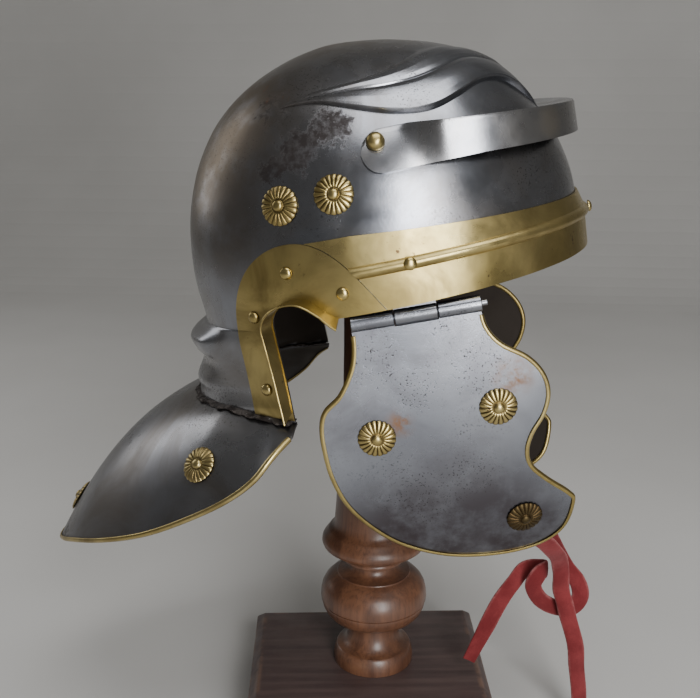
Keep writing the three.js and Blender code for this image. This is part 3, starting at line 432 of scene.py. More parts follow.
def side_point(x, z, off):
    """The point on the wearer's right of the bowl at x and z of the side view."""
    x, z = np.broadcast_arrays(np.asarray(x, float), np.asarray(z, float))
    t = row_at(z)
    rows = section(t)
    share = np.where(x > 0, x / rows[..., 1], x / rows[..., 2])
    return bowl_point(t, -np.arccos(np.clip(share, -1, 1)), off)


def top_point(x, y, off):
    """The point on top of the bowl above x and y."""
    low = np.full(np.shape(x), float(row_at(0)))
    high = np.full(np.shape(x), float(CROWN))
    for _ in range(36):
        middle = (low + high) / 2
        rows = section(middle)
        reach = np.where(x > 0, rows[..., 1], rows[..., 2])
        inside = (x / reach) ** 2 + (y / rows[..., 4]) ** 2 < 1
        low, high = np.where(inside, middle, low), np.where(inside, high, middle)
    rows = section(low)
    reach = np.where(x > 0, rows[..., 1], rows[..., 2])
    return bowl_point(low, np.arctan2(y / rows[..., 4], x / reach), off)


def on_helmet(p):
    """From the helmet's own frame to the shared frame."""
    x, y, z = np.moveaxis(np.asarray(p, float), -1, 0)
    c, s = math.cos(TILT), math.sin(TILT)
    return np.stack([x * c - z * s, y, x * s + z * c + RIM_HEIGHT], -1)


def bowl_form(off, segments=200, rings=110):
    """The whole bowl shape, filled, with its face moved out by off, shaped from a sphere."""
    bpy.ops.mesh.primitive_uv_sphere_add(segments=segments, ring_count=rings, radius=1)
    piece = bpy.context.object
    x, y, z = points_of(piece).T
    polar = np.arccos(np.clip(z, -1, 1))
    t = CROWN - (CROWN + 1) * np.minimum(polar / (math.pi * (1 - 1 / rings)), 1)
    p = bowl_point(t, np.arctan2(y, x), np.full(t.shape, off))
    foot = z < -1 + 1e-6
    p[foot] = (0, 0, p[~foot][:, 2].min())
    return move_points(piece, on_helmet(p))


def side_prism(outline, y0, y1, carry=on_helmet):
    """An outline of the helmet's side view, pushed through from y0 to y1."""
    return skin([carry([(x, y, z) for x, z in outline]) for y in (y0, y1)])


def combine(piece, other, how):
    """Cuts a piece with another, joins them or keeps what they share."""
    deselect()
    bpy.context.view_layer.objects.active = piece
    step = piece.modifiers.new(how.lower(), "BOOLEAN")
    step.operation = how
    step.object = other
    step.solver = "MANIFOLD"
    bpy.ops.object.modifier_apply(modifier=step.name)
    bpy.data.objects.remove(other)
    return piece


def curve(p0, p1, p2, p3, steps):
    """Points on a Bezier curve after its first point."""
    s = np.linspace(0, 1, steps + 1)[1:, None]
    p0, p1, p2, p3 = (np.array(p) for p in (p0, p1, p2, p3))
    points = (1 - s) ** 3 * p0 + 3 * (1 - s) ** 2 * s * p1 + 3 * (1 - s) * s**2 * p2 + s**3 * p3
    return [tuple(p) for p in points]


EAR_REAR = 0.052
EAR_FRONT = 0.014
EAR_ARCH = 0.0125
EAR_CORNER = 0.018
EAR_SPRING = -0.002
EAR_BEND = 0.008
EAR_TOE = (0.004, 0.002)


def ear_arch(foot, steps=24):
    """The ear arch from its rear foot over the top to the rim in front, in the side view."""
    rise = (-EAR_REAR, EAR_SPRING)
    top = (-(EAR_REAR + EAR_CORNER) / 2, EAR_ARCH)
    toe = (-EAR_CORNER - EAR_TOE[0], EAR_TOE[1])
    end = (-EAR_FRONT, 0)
    return (
        [(-EAR_REAR, foot), rise]
        + curve(rise, (-EAR_REAR, EAR_ARCH * 0.6), (-EAR_REAR + EAR_BEND, EAR_ARCH), top, steps)
        + curve(top, (-EAR_CORNER - EAR_BEND, EAR_ARCH), toe, end, steps)
    )


# How far a cutting block reaches past what it cuts.
SPARE = 0.06


def below_rim():
    """The block that cuts away what lies below the rim and in the ear arches."""
    low, front = -NAPE_DROP - SPARE, BROW_REACH + SPARE
    outline = ear_arch(low) + [(front, 0), (front, low)]
    return side_prism(outline, -2 * HALF_WIDTH, 2 * HALF_WIDTH)


def nape_foot(x):
    """The height of the nape's foot, which is lower at its front corners."""
    share = (np.asarray(x, float) + SLOPE_START) / (SLOPE_START - SLOPE_END)
    return -NAPE_DROP - NAPE_SLOPE * np.clip(share, 0, 1)


def below_nape():
    """The block that cuts the nape off at its foot."""
    low = -NAPE_DROP - SPARE
    outline = [(-2 * SKULL_REACH, low), (-2 * SKULL_REACH, -NAPE_DROP)]
    outline += [(x, float(nape_foot(x))) for x in (-SLOPE_START, -SLOPE_END)] + [(BROW_REACH, low)]
    return side_prism(outline, -2 * HALF_WIDTH, 2 * HALF_WIDTH)


# Lines of an eyebrow seen from above, from its outer tip to the front: its upper edge, the crease
# between its two folds and its lower edge, in the helmet's own frame, wearer's left.
EYEBROW_UPPER = [(-0.026, 0.0605), (-0.004, 0.061), (0.014, 0.0595), (0.029, 0.054), (0.041, 0.0445),
                 (0.052, 0.031), (0.062, 0.0205), (0.075, 0.0125), (0.090, 0.0075), (0.104, 0.0045)]
EYEBROW_CREASE = [(-0.026, 0.0615), (-0.006, 0.0645), (0.013, 0.0645), (0.031, 0.0620), (0.047, 0.0560),
                  (0.061, 0.0455), (0.074, 0.0300), (0.087, 0.0170), (0.097, 0.0110), (0.107, 0.0065)]
EYEBROW_LOWER = [(-0.026, 0.0620), (-0.008, 0.0665), (0.013, 0.0715), (0.033, 0.0725), (0.0525, 0.0675),
                 (0.0685, 0.0560), (0.0830, 0.0395), (0.0955, 0.0245), (0.1055, 0.0160), (0.1120, 0.0095)]
# Places across an eyebrow, 0 at its upper edge, 0.5 at the crease and 1 at its lower edge, and the
# heights there in millimetres.
EYEBROW_ACROSS = [-0.06, 0, 0.06, 0.16, 0.3, 0.42, 0.48, 0.5, 0.53, 0.6, 0.75, 0.88, 0.955, 0.98, 1.01]
EYEBROW_HEIGHTS = [-1.1, -0.2, 1.1, 2.0, 2.3, 2.0, 1.6, 1.1, 1.9, 2.6, 3.1, 3.3, 3.2, 1.6, -1.1]
EYEBROW_RISE = 0.25
EYEBROW_RUNOUT = 0.15


def eyebrow(side):
    """One eyebrow as a thin closed form on the bowl's face."""
    u = np.linspace(0, 1, 220)
    lines = (EYEBROW_UPPER, EYEBROW_CREASE, EYEBROW_LOWER)
    upper, crease, lower = (through(line, u) for line in lines)
    across = np.linspace(EYEBROW_ACROSS[0], EYEBROW_ACROSS[-1], 110)
    share = across[None, :, None] * 2
    over = np.where(share < 1, upper[:, None] + (crease - upper)[:, None] * share,
                    crease[:, None] + (lower - crease)[:, None] * (share - 1))
    rise = np.clip(np.minimum(u / EYEBROW_RISE, (1 - u) / EYEBROW_RUNOUT), 0.05, 1) ** 0.7
    height = np.interp(across, EYEBROW_ACROSS, EYEBROW_HEIGHTS)[None, :] * rise[:, None] / 1000
    face = top_point(over[..., 0], side * over[..., 1], height)
    back = top_point(over[..., 0], side * over[..., 1], np.minimum(height - SEAT, -STEEL * 0.6))
    return skin(on_helmet(np.concatenate([face, back[:, ::-1]], 1)))


raised = bowl_form(0)
combine(raised, bowl_form(-STEEL, 160, 90), "DIFFERENCE")
combine(raised, below_rim(), "DIFFERENCE")
combine(raised, below_nape(), "DIFFERENCE")
for eyebrow_side in (-1, 1):
    combine(raised, eyebrow(eyebrow_side), "UNION")


def inside_of(piece, away):
    """Marks the faces that look inwards, where away() gives the outward way at each point. The steel
    paints these faces near-black, partly as the dull inner steel and partly as painted shade.
    """
    at = points_of(piece)
    normal = np.empty(at.size)
    piece.data.vertices.foreach_get("normal", normal)
    facing = np.sum(unit(away(at)) * normal.reshape(-1, 3), 1)
    paint(piece, "inside", np.clip(0.4 - facing, 0, 1))
    return piece


def steel(name, dull=0.0, stains=(), spots=(), film_and_shade_patches=(), rusts=(), film_and_shade_tone=(0.135, 0.112, 0.088)):
    """Polished blue-grey steel with brownish tarnish, solid brown stains, fine pits and soft dents.

    Stains are patches, each with a centre, a radius and a strength, and so are the cloudy patches of
    tarnish, which are real on the bowl and the peak and are painted shade and painted dark reflection
    on the cheek guards. Spots, which are pitted, and rusts have a centre and a radius. The last
    argument is the colour of the tarnish, and on the cheek guards of the painted shade. Faces marked
    as inside are painted near-black, partly as the dull inner steel and partly as painted shade.
    """
    f = Finish(name, (0.33, 0.34, 0.37), 1, 0.3)
    ragged = f.math("MULTIPLY", f.math("SUBTRACT", f.noise(120, 6, 0.7, distortion=0.5), 0.5), 1.5)
    fine = f.math("MULTIPLY", f.math("SUBTRACT", f.noise(420, 4, 0.7), 0.5), 0.9)
    ragged = f.math("ADD", ragged, fine)
    stain = f.band(f.noise(19, 4, 0.6, distortion=0.6), 0.6, 0.8, 0, 0.42)
    for centre, radius, strength in stains:
        stain = f.math("MAXIMUM", stain, f.math("MULTIPLY", f.near(centre, radius, 0), strength))
    solid = f.band(f.math("ADD", stain, ragged), 0.46, 0.72)
    solid = f.math("MULTIPLY", solid, f.band(f.noise(230, 5, 0.7), 0.3, 0.6, 0.45, 0.92))
    pitted = f.band(f.noise(16, 3, 0.5), 0.5, 0.62, 0.0, 0.6)
    for centre, radius in spots:
        pitted = f.math("MAXIMUM", pitted, f.near(centre, radius, 0.3))
    pits = f.math("MULTIPLY", f.band(f.noise(900, 2, 0.5), 0.61, 0.65), pitted)
    film_and_shade = f.band(f.noise(15, 5, 0.6, distortion=0.9), 0.36, 0.72, 0.04 + dull, 0.5 + dull)
    # Cloudy patches deepen the tarnish: real tarnish on the bowl and the peak, painted shade and painted
    # dark reflection on the cheek guards.
    for centre, radius, strength in film_and_shade_patches:
        cloud = f.band(f.noise(45, 5, 0.65), 0.25, 0.6, 0.55 * strength, strength)
        film_and_shade = f.math("MAXIMUM", film_and_shade, f.math("MULTIPLY", f.near(centre, radius, 0.2), cloud))
    clean = f.mix(f.band(f.noise(8, 2), 0.3, 0.7), (0.27, 0.29, 0.335), (0.375, 0.39, 0.425))
    filmed = f.mix(film_and_shade, clean, film_and_shade_tone)
    stained = f.mix(solid, filmed, (0.042, 0.034, 0.032))
    stained = f.mix(pits, stained, (0.02, 0.015, 0.012))
    grains = f.band(f.noise(300, 5, 0.7), 0.5, 0.6)
    rust = f.math("MULTIPLY", f.band(f.noise(23, 5, 0.65), 0.66, 0.74), grains)
    for centre, radius in rusts:
        ring = f.math("MULTIPLY", f.near(centre, radius, 0), f.band(f.noise(160, 5, 0.7), 0.35, 0.65))
        rust = f.math("MAXIMUM", rust, ring)
    worn = f.mix(rust, stained, (0.26, 0.13, 0.06))
    # Faces that look inwards are painted near-black: partly the dull inner steel, partly painted shade
    # inside the bowl and behind the guards.
    inside = f.attribute("inside")
    f.to("Base Color", f.mix(inside, worn, (0.05, 0.042, 0.036)))
    polish = f.math("ADD", f.band(f.noise(60, 3), 0.3, 0.7, 0.17, 0.24), f.math("MULTIPLY", film_and_shade, 0.18))
    dulled = f.math("ADD", f.math("MULTIPLY", solid, 0.35), f.math("MULTIPLY", inside, 0.4))
    f.to("Roughness", f.math("ADD", polish, dulled))
    f.bump(f.noise(30, 2, 0.5), 0.3, 0.0011)
    sunk = f.math("ADD", solid, pits)
    f.bump(f.math("SUBTRACT", f.math("MULTIPLY", f.noise(500, 3), 0.3), sunk), 0.2, 0.0003)
    return f.material


STEEL_BOWL = steel(
    "bowl_steel",
    dull=0.06,
    stains=[((-0.036, -0.080, 0.389), 0.026, 1.0), ((-0.0206, -0.076, 0.4014), 0.024, 0.95),
            ((-0.05, -0.080, 0.379), 0.02, 0.9), ((-0.055, -0.06, 0.41), 0.03, 0.6)],
    film_and_shade_patches=[((-0.10, -0.03, 0.40), 0.13, 1.0), ((-0.03, 0.02, 0.44), 0.11, 0.9),
            ((-0.08, -0.07, 0.35), 0.06, 0.7)],
    film_and_shade_tone=(0.15, 0.118, 0.084),
)
BOWL_MIDDLE = [-0.03, 0, 0.33]
inside_of(raised, lambda points: points - BOWL_MIDDLE)
settle(raised, "raised_bowl", STEEL_BOWL, "steel", "bowl", angle=32)


# The turned post stands on the board, and its round head carries the bowl. It is one piece of
# dark varnished hardwood with a foot, a bulb and a collar.
POST_HEIGHT = 0.409
BOARD_THICKNESS = 0.036
# Radius and height above the board along the post, in millimetres, from its foot to its neck.
POST_PROFILE = [
    (0, 0.3), (27, 0.3), (27.2, 2.5), (27.2, 4), (26.8, 7), (26, 10), (25, 12), (24.4, 12.3),
    (22, 13), (19, 15.2), (17.2, 18.5), (16.2, 22), (16, 27), (16.3, 30), (17.3, 31.6), (18.2, 32),
    (18.2, 33), (22, 33.6), (27, 34.6), (30.5, 36.5), (33, 39.5), (34.6, 43), (35.2, 45.6),
    (35.2, 46.4), (34.6, 46.8), (35.8, 47.6), (36, 49.5), (35.8, 53), (35, 57), (33.2, 60.5),
    (30.4, 63.5), (27.4, 65.6), (25.2, 66.6), (24.6, 66.9), (24.4, 67.5), (22, 67.8), (18.5, 68.6),
    (16, 70.4), (15.2, 72.8), (15.4, 75), (16.8, 76.6), (19.5, 77), (21, 77.2), (21.3, 78.2),
    (21, 79), (20.8, 79.4), (22, 80.2), (22.6, 81.6), (22.3, 82.8), (23.4, 83.2), (27, 84),
    (31, 85.8), (34, 88), (35, 90.5), (34.6, 93), (33, 95.4), (31.2, 97.6), (30.4, 99), (30, 99.4),
    (28.4, 100.4), (26.8, 103), (26.2, 107), (25.6, 115), (24.5, 130), (22, 160), (20.6, 190),
    (20, 226), (19.9, 252), (20.8, 276), (23.5, 293), (30, 303), (39, 309),
]
HEAD_RADIUS = 0.058
# Where the neck runs into the head, as an angle from its middle height.
HEAD_START = -0.86


def turned(profile, steps=96):
    """A piece turned about the z axis from radius and height pairs."""
    angle = np.linspace(0, 2 * np.pi, steps + 1)
    r, z = np.asarray(profile, float).T
    round_it = np.stack([np.cos(angle), np.sin(angle), 0 * angle], -1)
    rings = round_it[:, None] * r[None, :, None]
    rings[..., 2] = z
    return skin(rings)


def post():
    rows = [(r / 1000, z / 1000) for r, z in POST_PROFILE]
    head_middle = POST_HEIGHT - HEAD_RADIUS
    for angle in np.linspace(HEAD_START, math.pi / 2, 40)[:-1]:
        rows.append((HEAD_RADIUS * math.cos(angle), head_middle + HEAD_RADIUS * math.sin(angle)))
    piece = turned(rows + [(0, POST_HEIGHT)])
    piece.location = (0, 0, BOARD_THICKNESS)
    return piece


def varnish():
    """Dark reddish hardwood with a fine upright grain, rubbed paler in places."""
    f = Finish("varnished_hardwood", (0.13, 0.055, 0.028), 0, 0.4)
    grain = f.noise(70, 5, 0.65, stretch=(1, 1, 0.09), distortion=0.5)
    fine = f.noise(600, 3, 0.6, stretch=(1, 1, 0.05))
    wood = f.mix(f.band(grain, 0.35, 0.7), (0.155, 0.068, 0.035), (0.08, 0.034, 0.019))
    wood = f.mix(f.band(fine, 0.45, 0.7, 0, 0.5), wood, (0.05, 0.022, 0.014))
    worn = f.band(f.noise(45, 4), 0.6, 0.75, 0, 0.5)
    f.to("Base Color", f.mix(worn, wood, (0.22, 0.11, 0.058)))
    f.to("Roughness", f.band(f.noise(55, 3), 0.3, 0.8, 0.34, 0.5))
    f.shader.inputs["Coat Weight"].default_value = 0.2
    f.shader.inputs["Coat Roughness"].default_value = 0.25
    f.bump(fine, 0.12, 0.0003)
    f.bump(f.noise(25, 2, stretch=(1, 1, 2.5)), 0.2, 0.0008)
    return f.material


settle(post(), "turned_post", varnish(), "post", "stand_post", angle=50)


# The stand is a thick board with bevelled top edges. It is stained dark brown and rubbed paler
# along its edges, and the post is screwed to it from below.
BOARD_WIDTH = 0.162
BOARD_DEPTH = 0.126
BOARD_BEVEL = 0.006
BOARD_ARRIS = 0.0009
BOARD_TURN = math.radians(6.5)
BOARD_SHIFT = 0.004


def board():
    bpy.ops.mesh.primitive_cube_add(size=1, location=(0, 0, BOARD_THICKNESS / 2))
    piece = bpy.context.object
    piece.scale = (BOARD_WIDTH, BOARD_DEPTH, BOARD_THICKNESS)
    bpy.ops.object.transform_apply(location=True, rotation=True, scale=True)
    bpy.ops.object.mode_set(mode="EDIT")
    bpy.ops.mesh.select_mode(type="EDGE")
    bpy.ops.mesh.select_all(action="DESELECT")
    bpy.ops.object.mode_set(mode="OBJECT")
    for edge in piece.data.edges:
        edge.select = all(piece.data.vertices[i].co.z > BOARD_THICKNESS / 2 for i in edge.vertices)
    bpy.ops.object.mode_set(mode="EDIT")
    bpy.ops.mesh.bevel(offset=BOARD_BEVEL, offset_type="OFFSET", segments=1, affect="EDGES")
    bpy.ops.mesh.select_all(action="SELECT")
    bpy.ops.mesh.bevel(offset=BOARD_ARRIS, offset_type="OFFSET", segments=2, affect="EDGES")
    bpy.ops.object.mode_set(mode="OBJECT")
    piece.rotation_euler.z = BOARD_TURN
    piece.location.x = -BOARD_SHIFT
    return piece


def stained_wood():
    """Dark stain with the grain along the board, rubbed off where the bevel starts and ends."""
    f = Finish("stained_board", (0.03, 0.016, 0.013), 0, 0.5)
    moved = f.node("ShaderNodeMapping", {"Vector": f.place, "Location": (BOARD_SHIFT, 0, 0)}).outputs[0]
    square = f.node("ShaderNodeMapping", {"Vector": moved, "Rotation": (0, 0, -BOARD_TURN)}).outputs[0]
    grain = f.node("ShaderNodeMapping", {"Vector": square, "Scale": (0.08, 1, 1)}).outputs[0]
    streak = f.node("ShaderNodeTexNoise", {"Vector": grain, "Scale": 160, "Detail": 5}).outputs["Fac"]
    x, y, z = f.node("ShaderNodeSeparateXYZ", {"Vector": square}).outputs
    x_edge = f.math("SUBTRACT", BOARD_WIDTH / 2 - BOARD_BEVEL, f.math("ABSOLUTE", x, 0))
    y_edge = f.math("SUBTRACT", BOARD_DEPTH / 2 - BOARD_BEVEL, f.math("ABSOLUTE", y, 0))
    top = f.band(f.math("ABSOLUTE", f.math("MINIMUM", x_edge, y_edge), 0), 0.0032, 0.0006)
    top = f.math("MULTIPLY", top, f.band(z, BOARD_THICKNESS - 0.004, BOARD_THICKNESS - 0.001))
    off_bevel = f.math("ABSOLUTE", f.math("SUBTRACT", z, BOARD_THICKNESS - BOARD_BEVEL), 0)
    low = f.band(off_bevel, 0.0022, 0.0004)
    rubbed = f.math("MULTIPLY", f.math("MAXIMUM", top, low), f.band(f.noise(60, 5, 0.7), 0.42, 0.62))
    stain = f.mix(f.band(streak, 0.3, 0.75), (0.06, 0.038, 0.036), (0.1, 0.066, 0.06))
    stain = f.mix(f.band(f.noise(30, 5, 0.6), 0.45, 0.7, 0, 0.5), stain, (0.08, 0.05, 0.045))
    f.to("Base Color", f.mix(rubbed, stain, (0.15, 0.09, 0.066)))
    f.to("Roughness", f.band(f.noise(35, 4), 0.3, 0.75, 0.36, 0.62))
    f.bump(streak, 0.25, 0.0004)
    f.bump(f.noise(120, 4), 0.2, 0.0004)
    return f.material


settle(board(), "bevelled_board", stained_wood(), "board", "stand_base", angle=30)


# The neck guard is a broad curved plate of the same steel. It fits under the foot of the nape and
# is welded on there, all along its joint.
NECK_REACH = 0.247
NECK_HALF_WIDTH = 0.108
NECK_DROP = 0.136
NECK_CURVE = 1.3
NECK_HOLLOW = 0.5
# Angle of the nape's foot from the back in degrees, and shares of the reach back, the half width
# and the drop, from a front corner to the middle of the back.
NECK_ROWS = [
    (65.3, 0.2186, 0.87, 0.456),
    (60, 0.269, 0.963, 0.515),
    (54, 0.322, 1, 0.593),
    (47, 0.4, 1, 0.662),
    (39, 0.51, 0.963, 0.728),
    (30, 0.6316, 0.852, 0.798),
    (21, 0.769, 0.667, 0.859),
    (12, 0.9, 0.417, 0.919),
    (5, 0.975, 0.185, 0.976),
    (0, 1, 0, 1),
]
NECK_STATIONS = np.array(NECK_ROWS + [(-a, b, -s, d) for a, b, s, d in NECK_ROWS[-2::-1]])


def neck_face(u, v):
    """The neck guard's upper face: u runs round from the right front corner, v from the nape out."""
    angle, back, side, drop = np.moveaxis(through(NECK_STATIONS, u), -1, 0)
    start = bowl_point(np.zeros(np.shape(u)), np.pi + np.radians(angle), -STEEL)
    start[..., 2] = nape_foot(start[..., 0]) - SEAT
    end = np.stack([-back * NECK_REACH, -side * NECK_HALF_WIDTH, -drop * NECK_DROP], -1)
    p = start + (end - start) * v[..., None]
    fall = v ** (NECK_CURVE + NECK_HOLLOW * np.sin(np.pi * u))
    p[..., 2] = start[..., 2] + (end[..., 2] - start[..., 2]) * fall
    return p


def normals_of(face):
    """The normals of a grid of points."""
    return unit(np.cross(np.gradient(face, axis=0), np.gradient(face, axis=1)))


def plate(face, above, below):
    """A plate that reaches from above to below a grid of points, along its normals."""
    n = normals_of(face)
    return np.concatenate([face + n * above, (face + n * below)[:, ::-1]], 1)


def neck_guard():
    u, v = np.meshgrid(np.linspace(0, 1, 181), np.linspace(0, 1, 36) ** 0.8, indexing="ij")
    return skin(on_helmet(plate(neck_face(u, v), 0, -STEEL)))


STEEL_NECK = steel("neck_guard_steel", dull=0.3, stains=[((-0.21, -0.03, 0.135), 0.05, 0.45)])
NECK_UPWARDS = [0.4, 0, 1]
neck_plate = inside_of(neck_guard(), lambda points: np.full(points.shape, NECK_UPWARDS))
settle(neck_plate, "neck_guard_plate", STEEL_NECK, "steel", "neck_guard")


# The weld is a rough bead on the joint between the nape and the neck guard. It is wider towards
# the front corners, and its scale was left on.
WELD_RADIUS = 0.0014
WELD_OUT = 0.0004
WELD_DROP = 0.0001


def weld():
    """The bead as a lumpy flattened cord, with u along it in a column and turn round it."""
    u = np.linspace(0.012, 0.988, 620)[:, None]
    turn = np.arange(14) / 14 * 2 * np.pi
    angle = np.pi + np.radians(through(NECK_STATIONS, u[:, 0])[:, 0])
    centre = bowl_point(np.zeros(angle.shape), angle, WELD_OUT)
    centre[:, 2] = nape_foot(centre[:, 0]) - WELD_DROP
    out = bowl_point(np.zeros(angle.shape), angle, 0.01) - centre
    out[:, 2] = 0
    beads = 0.00016 * np.sin(u * 331 + 4 * np.sin(u * 41)) * np.sin(turn + 0.8)
    lumps = 0.00028 * np.sin(u * 61 + 2 * turn) + 0.00021 * np.sin(u * 146 - 2 * turn)
    wide = 1.8 + 1.4 * (2 * u - 1) ** 2 + 0.25 * np.sin(u * 83 + 2 * np.sin(u * 29))
    radius = WELD_RADIUS + beads + lumps
    sideways = unit(out)[:, None] * (radius * np.cos(turn) * wide)[..., None]
    upwards = np.array([0, 0, 0.9]) * (radius * np.sin(turn))[..., None]
    return skin(on_helmet(centre[:, None] + sideways + upwards))


def scale_finish():
    """Dark crusty scale with a few bright specks."""
    f = Finish("weld_scale", (0.05, 0.045, 0.045), 0.8, 0.6)
    spark = f.band(f.noise(520, 4, 0.7), 0.66, 0.72)
    crust = f.mix(f.band(f.noise(240, 5), 0.4, 0.6), (0.03, 0.024, 0.022), (0.09, 0.078, 0.072))
    f.to("Base Color", f.mix(spark, crust, (0.5, 0.49, 0.48)))
    f.to("Roughness", f.band(spark, 0, 1, 0.65, 0.3))
    f.bump(f.noise(480, 4, 0.7), 0.6, 0.0006)
    return f.material


settle(weld(), "neck_guard_weld", scale_finish(), "steel", angle=60)


# A thin brass channel is folded over the free edge of the neck guard and squeezed on. It grips
# the plate from both faces and runs from one front corner to the other.
LIP = 0.0016
EDGING = 0.0007
EDGING_SEAT = 0.0003
CHANNEL_SLOT = STEEL / 2 + EDGING_SEAT
CHANNEL_WIDE = CHANNEL_SLOT + EDGING
CHANNEL_ROUND = 0.8
CHANNEL_EASE = 0.0003
CHANNEL_BLUNT = 0.0002


def brass(name, patina_and_shade, film_and_shade_tone=(0.185, 0.135, 0.05)):
    """Pale yellow brass with soft greenish-brown tarnish, and painted shade in the hollows that a piece
    marks. Set high and near-black, the tarnish paints a whole piece into shade, as on the chin rosettes.
    """
    f = Finish(name, (0.68, 0.5, 0.2), 1, 0.28)
    film_and_shade = f.band(f.noise(24, 5, 0.6, distortion=0.8), 0.36, 0.7, patina_and_shade * 0.4, min(patina_and_shade * 1.8, 0.95))
    bright = f.mix(f.band(f.noise(9, 2), 0.3, 0.7), (0.50, 0.385, 0.135), (0.65, 0.53, 0.24))
    brown = f.mix(film_and_shade, bright, film_and_shade_tone)
    spot = f.math("MULTIPLY", f.band(f.noise(260, 5, 0.7), 0.6, 0.68), f.band(f.noise(40, 3), 0.5, 0.65))
    brown = f.mix(spot, brown, (0.11, 0.07, 0.035))
    # Painted shade in the marked hollows, such as the rosettes' flutes.
    hollow_shade = f.math("MULTIPLY", f.attribute("hollow_shade"), f.band(f.noise(180, 3), 0.2, 0.6, 0.6, 0.9))
    f.to("Base Color", f.mix(hollow_shade, brown, (0.075, 0.045, 0.02)))
    polish = f.band(f.noise(50, 3), 0.3, 0.75, 0.2, 0.3)
    f.to("Roughness", f.math("ADD", polish, f.math("MULTIPLY", film_and_shade, 0.25)))
    f.bump(f.noise(45, 3), 0.3, 0.0008)
    f.bump(f.noise(500, 3), 0.05, 0.0002)
    return f.material


def channel(points, normals, carry):
    """A folded strip along an edge, gripping the plate on both faces."""
    bend = np.linspace(-np.pi / 2, np.pi / 2, 9)
    reach = CHANNEL_WIDE * CHANNEL_ROUND
    start = EDGING_SEAT + EDGING - reach
    outer = [(start + reach * math.cos(a), CHANNEL_WIDE * math.sin(a)) for a in bend]
    inner = [(start + (reach - EDGING) * math.cos(a), CHANNEL_SLOT * math.sin(a)) for a in bend]
    blunt = CHANNEL_WIDE - CHANNEL_BLUNT
    lower_lip = [(-LIP, -CHANNEL_SLOT), (-LIP, -blunt), (-LIP + CHANNEL_EASE, -CHANNEL_WIDE)]
    upper_lip = [(-LIP + CHANNEL_EASE, CHANNEL_WIDE), (-LIP, blunt), (-LIP, CHANNEL_SLOT)]
    profile = np.array(lower_lip + outer + upper_lip + inner[::-1])
    along = unit(np.gradient(points, axis=0))
    out = unit(np.cross(along, normals))
    normal = unit(np.cross(out, along))
    across, through_it = profile[None, :, :1], profile[None, :, 1:]
    return skin(carry(points[:, None] + out[:, None] * across + normal[:, None] * through_it))


def neck_channel():
    u = np.linspace(0.994, 0.006, 280)
    face = neck_face(*np.meshgrid(u, np.array([0.98, 0.99, 1.0]), indexing="ij"))
    n = -normals_of(face)[:, 2]
    return channel(face[:, 2] - n * STEEL / 2, n, on_helmet)


BRASS_EDGE = brass("edging_brass", 0.45)
settle(neck_channel(), "neck_guard_edging", BRASS_EDGE, "brass", "neck_binding", angle=40)


# A brass ear guard frames each ear opening. A flat plate is riveted to the bowl, and a flange
# stands off it along the arch.
GUARD_REAR = 0.076
GUARD_FRONT = 0.012
GUARD_TOP = 0.043
GUARD_PEAK = 0.034
GUARD_LIFT = 0.0013
GUARD_SPRING = -0.010
GUARD_BEND = 0.022
FLANGE_FOOT = -0.0507
FLANGE_DEPTH = 0.012
FLANGE_ROUND = 0.0003
FLANGE_SAG = 0.004
FLANGE_SAG_RUN = 0.007


def guard_outline(steps=30):
    """The outside of an ear guard in the side view, from its rear foot over the top to the rim."""
    spring = (-GUARD_REAR, GUARD_SPRING)
    top = (-GUARD_PEAK, GUARD_TOP)
    end = (GUARD_FRONT, 0)
    behind, ahead = (-GUARD_PEAK - GUARD_BEND, GUARD_TOP), (-GUARD_PEAK + GUARD_BEND, GUARD_TOP)
    return (
        [(-GUARD_REAR, float(nape_foot(-GUARD_REAR)) + GUARD_LIFT), spring]
        + curve(spring, (-GUARD_REAR, GUARD_TOP * 0.55), behind, top, steps)
        + curve(top, ahead, (0, GUARD_TOP * 0.45), end, steps)
    )


def mirrored(p, side):
    """A point of the wearer's right, or its mirror image on the left."""
    return np.asarray(p, float) * [1, side, 1]


def ear_flange():
    """Rings of points round the flange, on the wearer's right. It sags a little at both ends."""
    foot = np.stack([np.full(20, -EAR_REAR), np.linspace(FLANGE_FOOT, EAR_SPRING, 20)], -1)
    path = np.concatenate([foot[:-1], ear_arch(FLANGE_FOOT, 30)[1:]])
    along = unit(np.gradient(path, axis=0))
    away = np.stack([-along[:, 1], along[:, 0]], -1) * BRASS
    down = np.clip((EAR_SPRING - path[:, 1]) / (EAR_SPRING - FLANGE_FOOT), 0, 1)
    ahead = np.clip((path[:, 0] + EAR_FRONT + FLANGE_SAG_RUN) / FLANGE_SAG_RUN, 0, 1)
    sag = FLANGE_SAG * np.maximum(down, ahead)
    rise = [(SEAT, 0), (FLANGE_DEPTH / 2, 0), (FLANGE_DEPTH - FLANGE_ROUND, 0), (FLANGE_DEPTH, 0.3)]
    rings = []
    for off, share in rise + [(off, 1 - share) for off, share in rise[::-1]]:
        x, z = (path + away * share).T
        p = side_point(x, z, np.full(len(path), off))
        p[:, 2] -= sag * (off - SEAT) / (FLANGE_DEPTH - SEAT)
        rings.append(p)
    return np.stack(rings, 1)


def ear_guard(side):
    """The plate, cut from a shell just off the bowl, with the flange joined to it."""
    shell = bowl_form(SEAT + BRASS)
    combine(shell, bowl_form(SEAT), "DIFFERENCE")
    heel = (-SLOPE_END, float(nape_foot(-SLOPE_END)) + GUARD_LIFT)
    outline = guard_outline() + [(-EAR_FRONT, 0), heel]

    def carry(p):
        return on_helmet(mirrored(p, side))

    combine(shell, side_prism(outline, -2 * HALF_WIDTH, -SEAT, carry), "INTERSECT")
    combine(shell, below_rim(), "DIFFERENCE")
    return combine(shell, skin(carry(ear_flange())), "UNION")


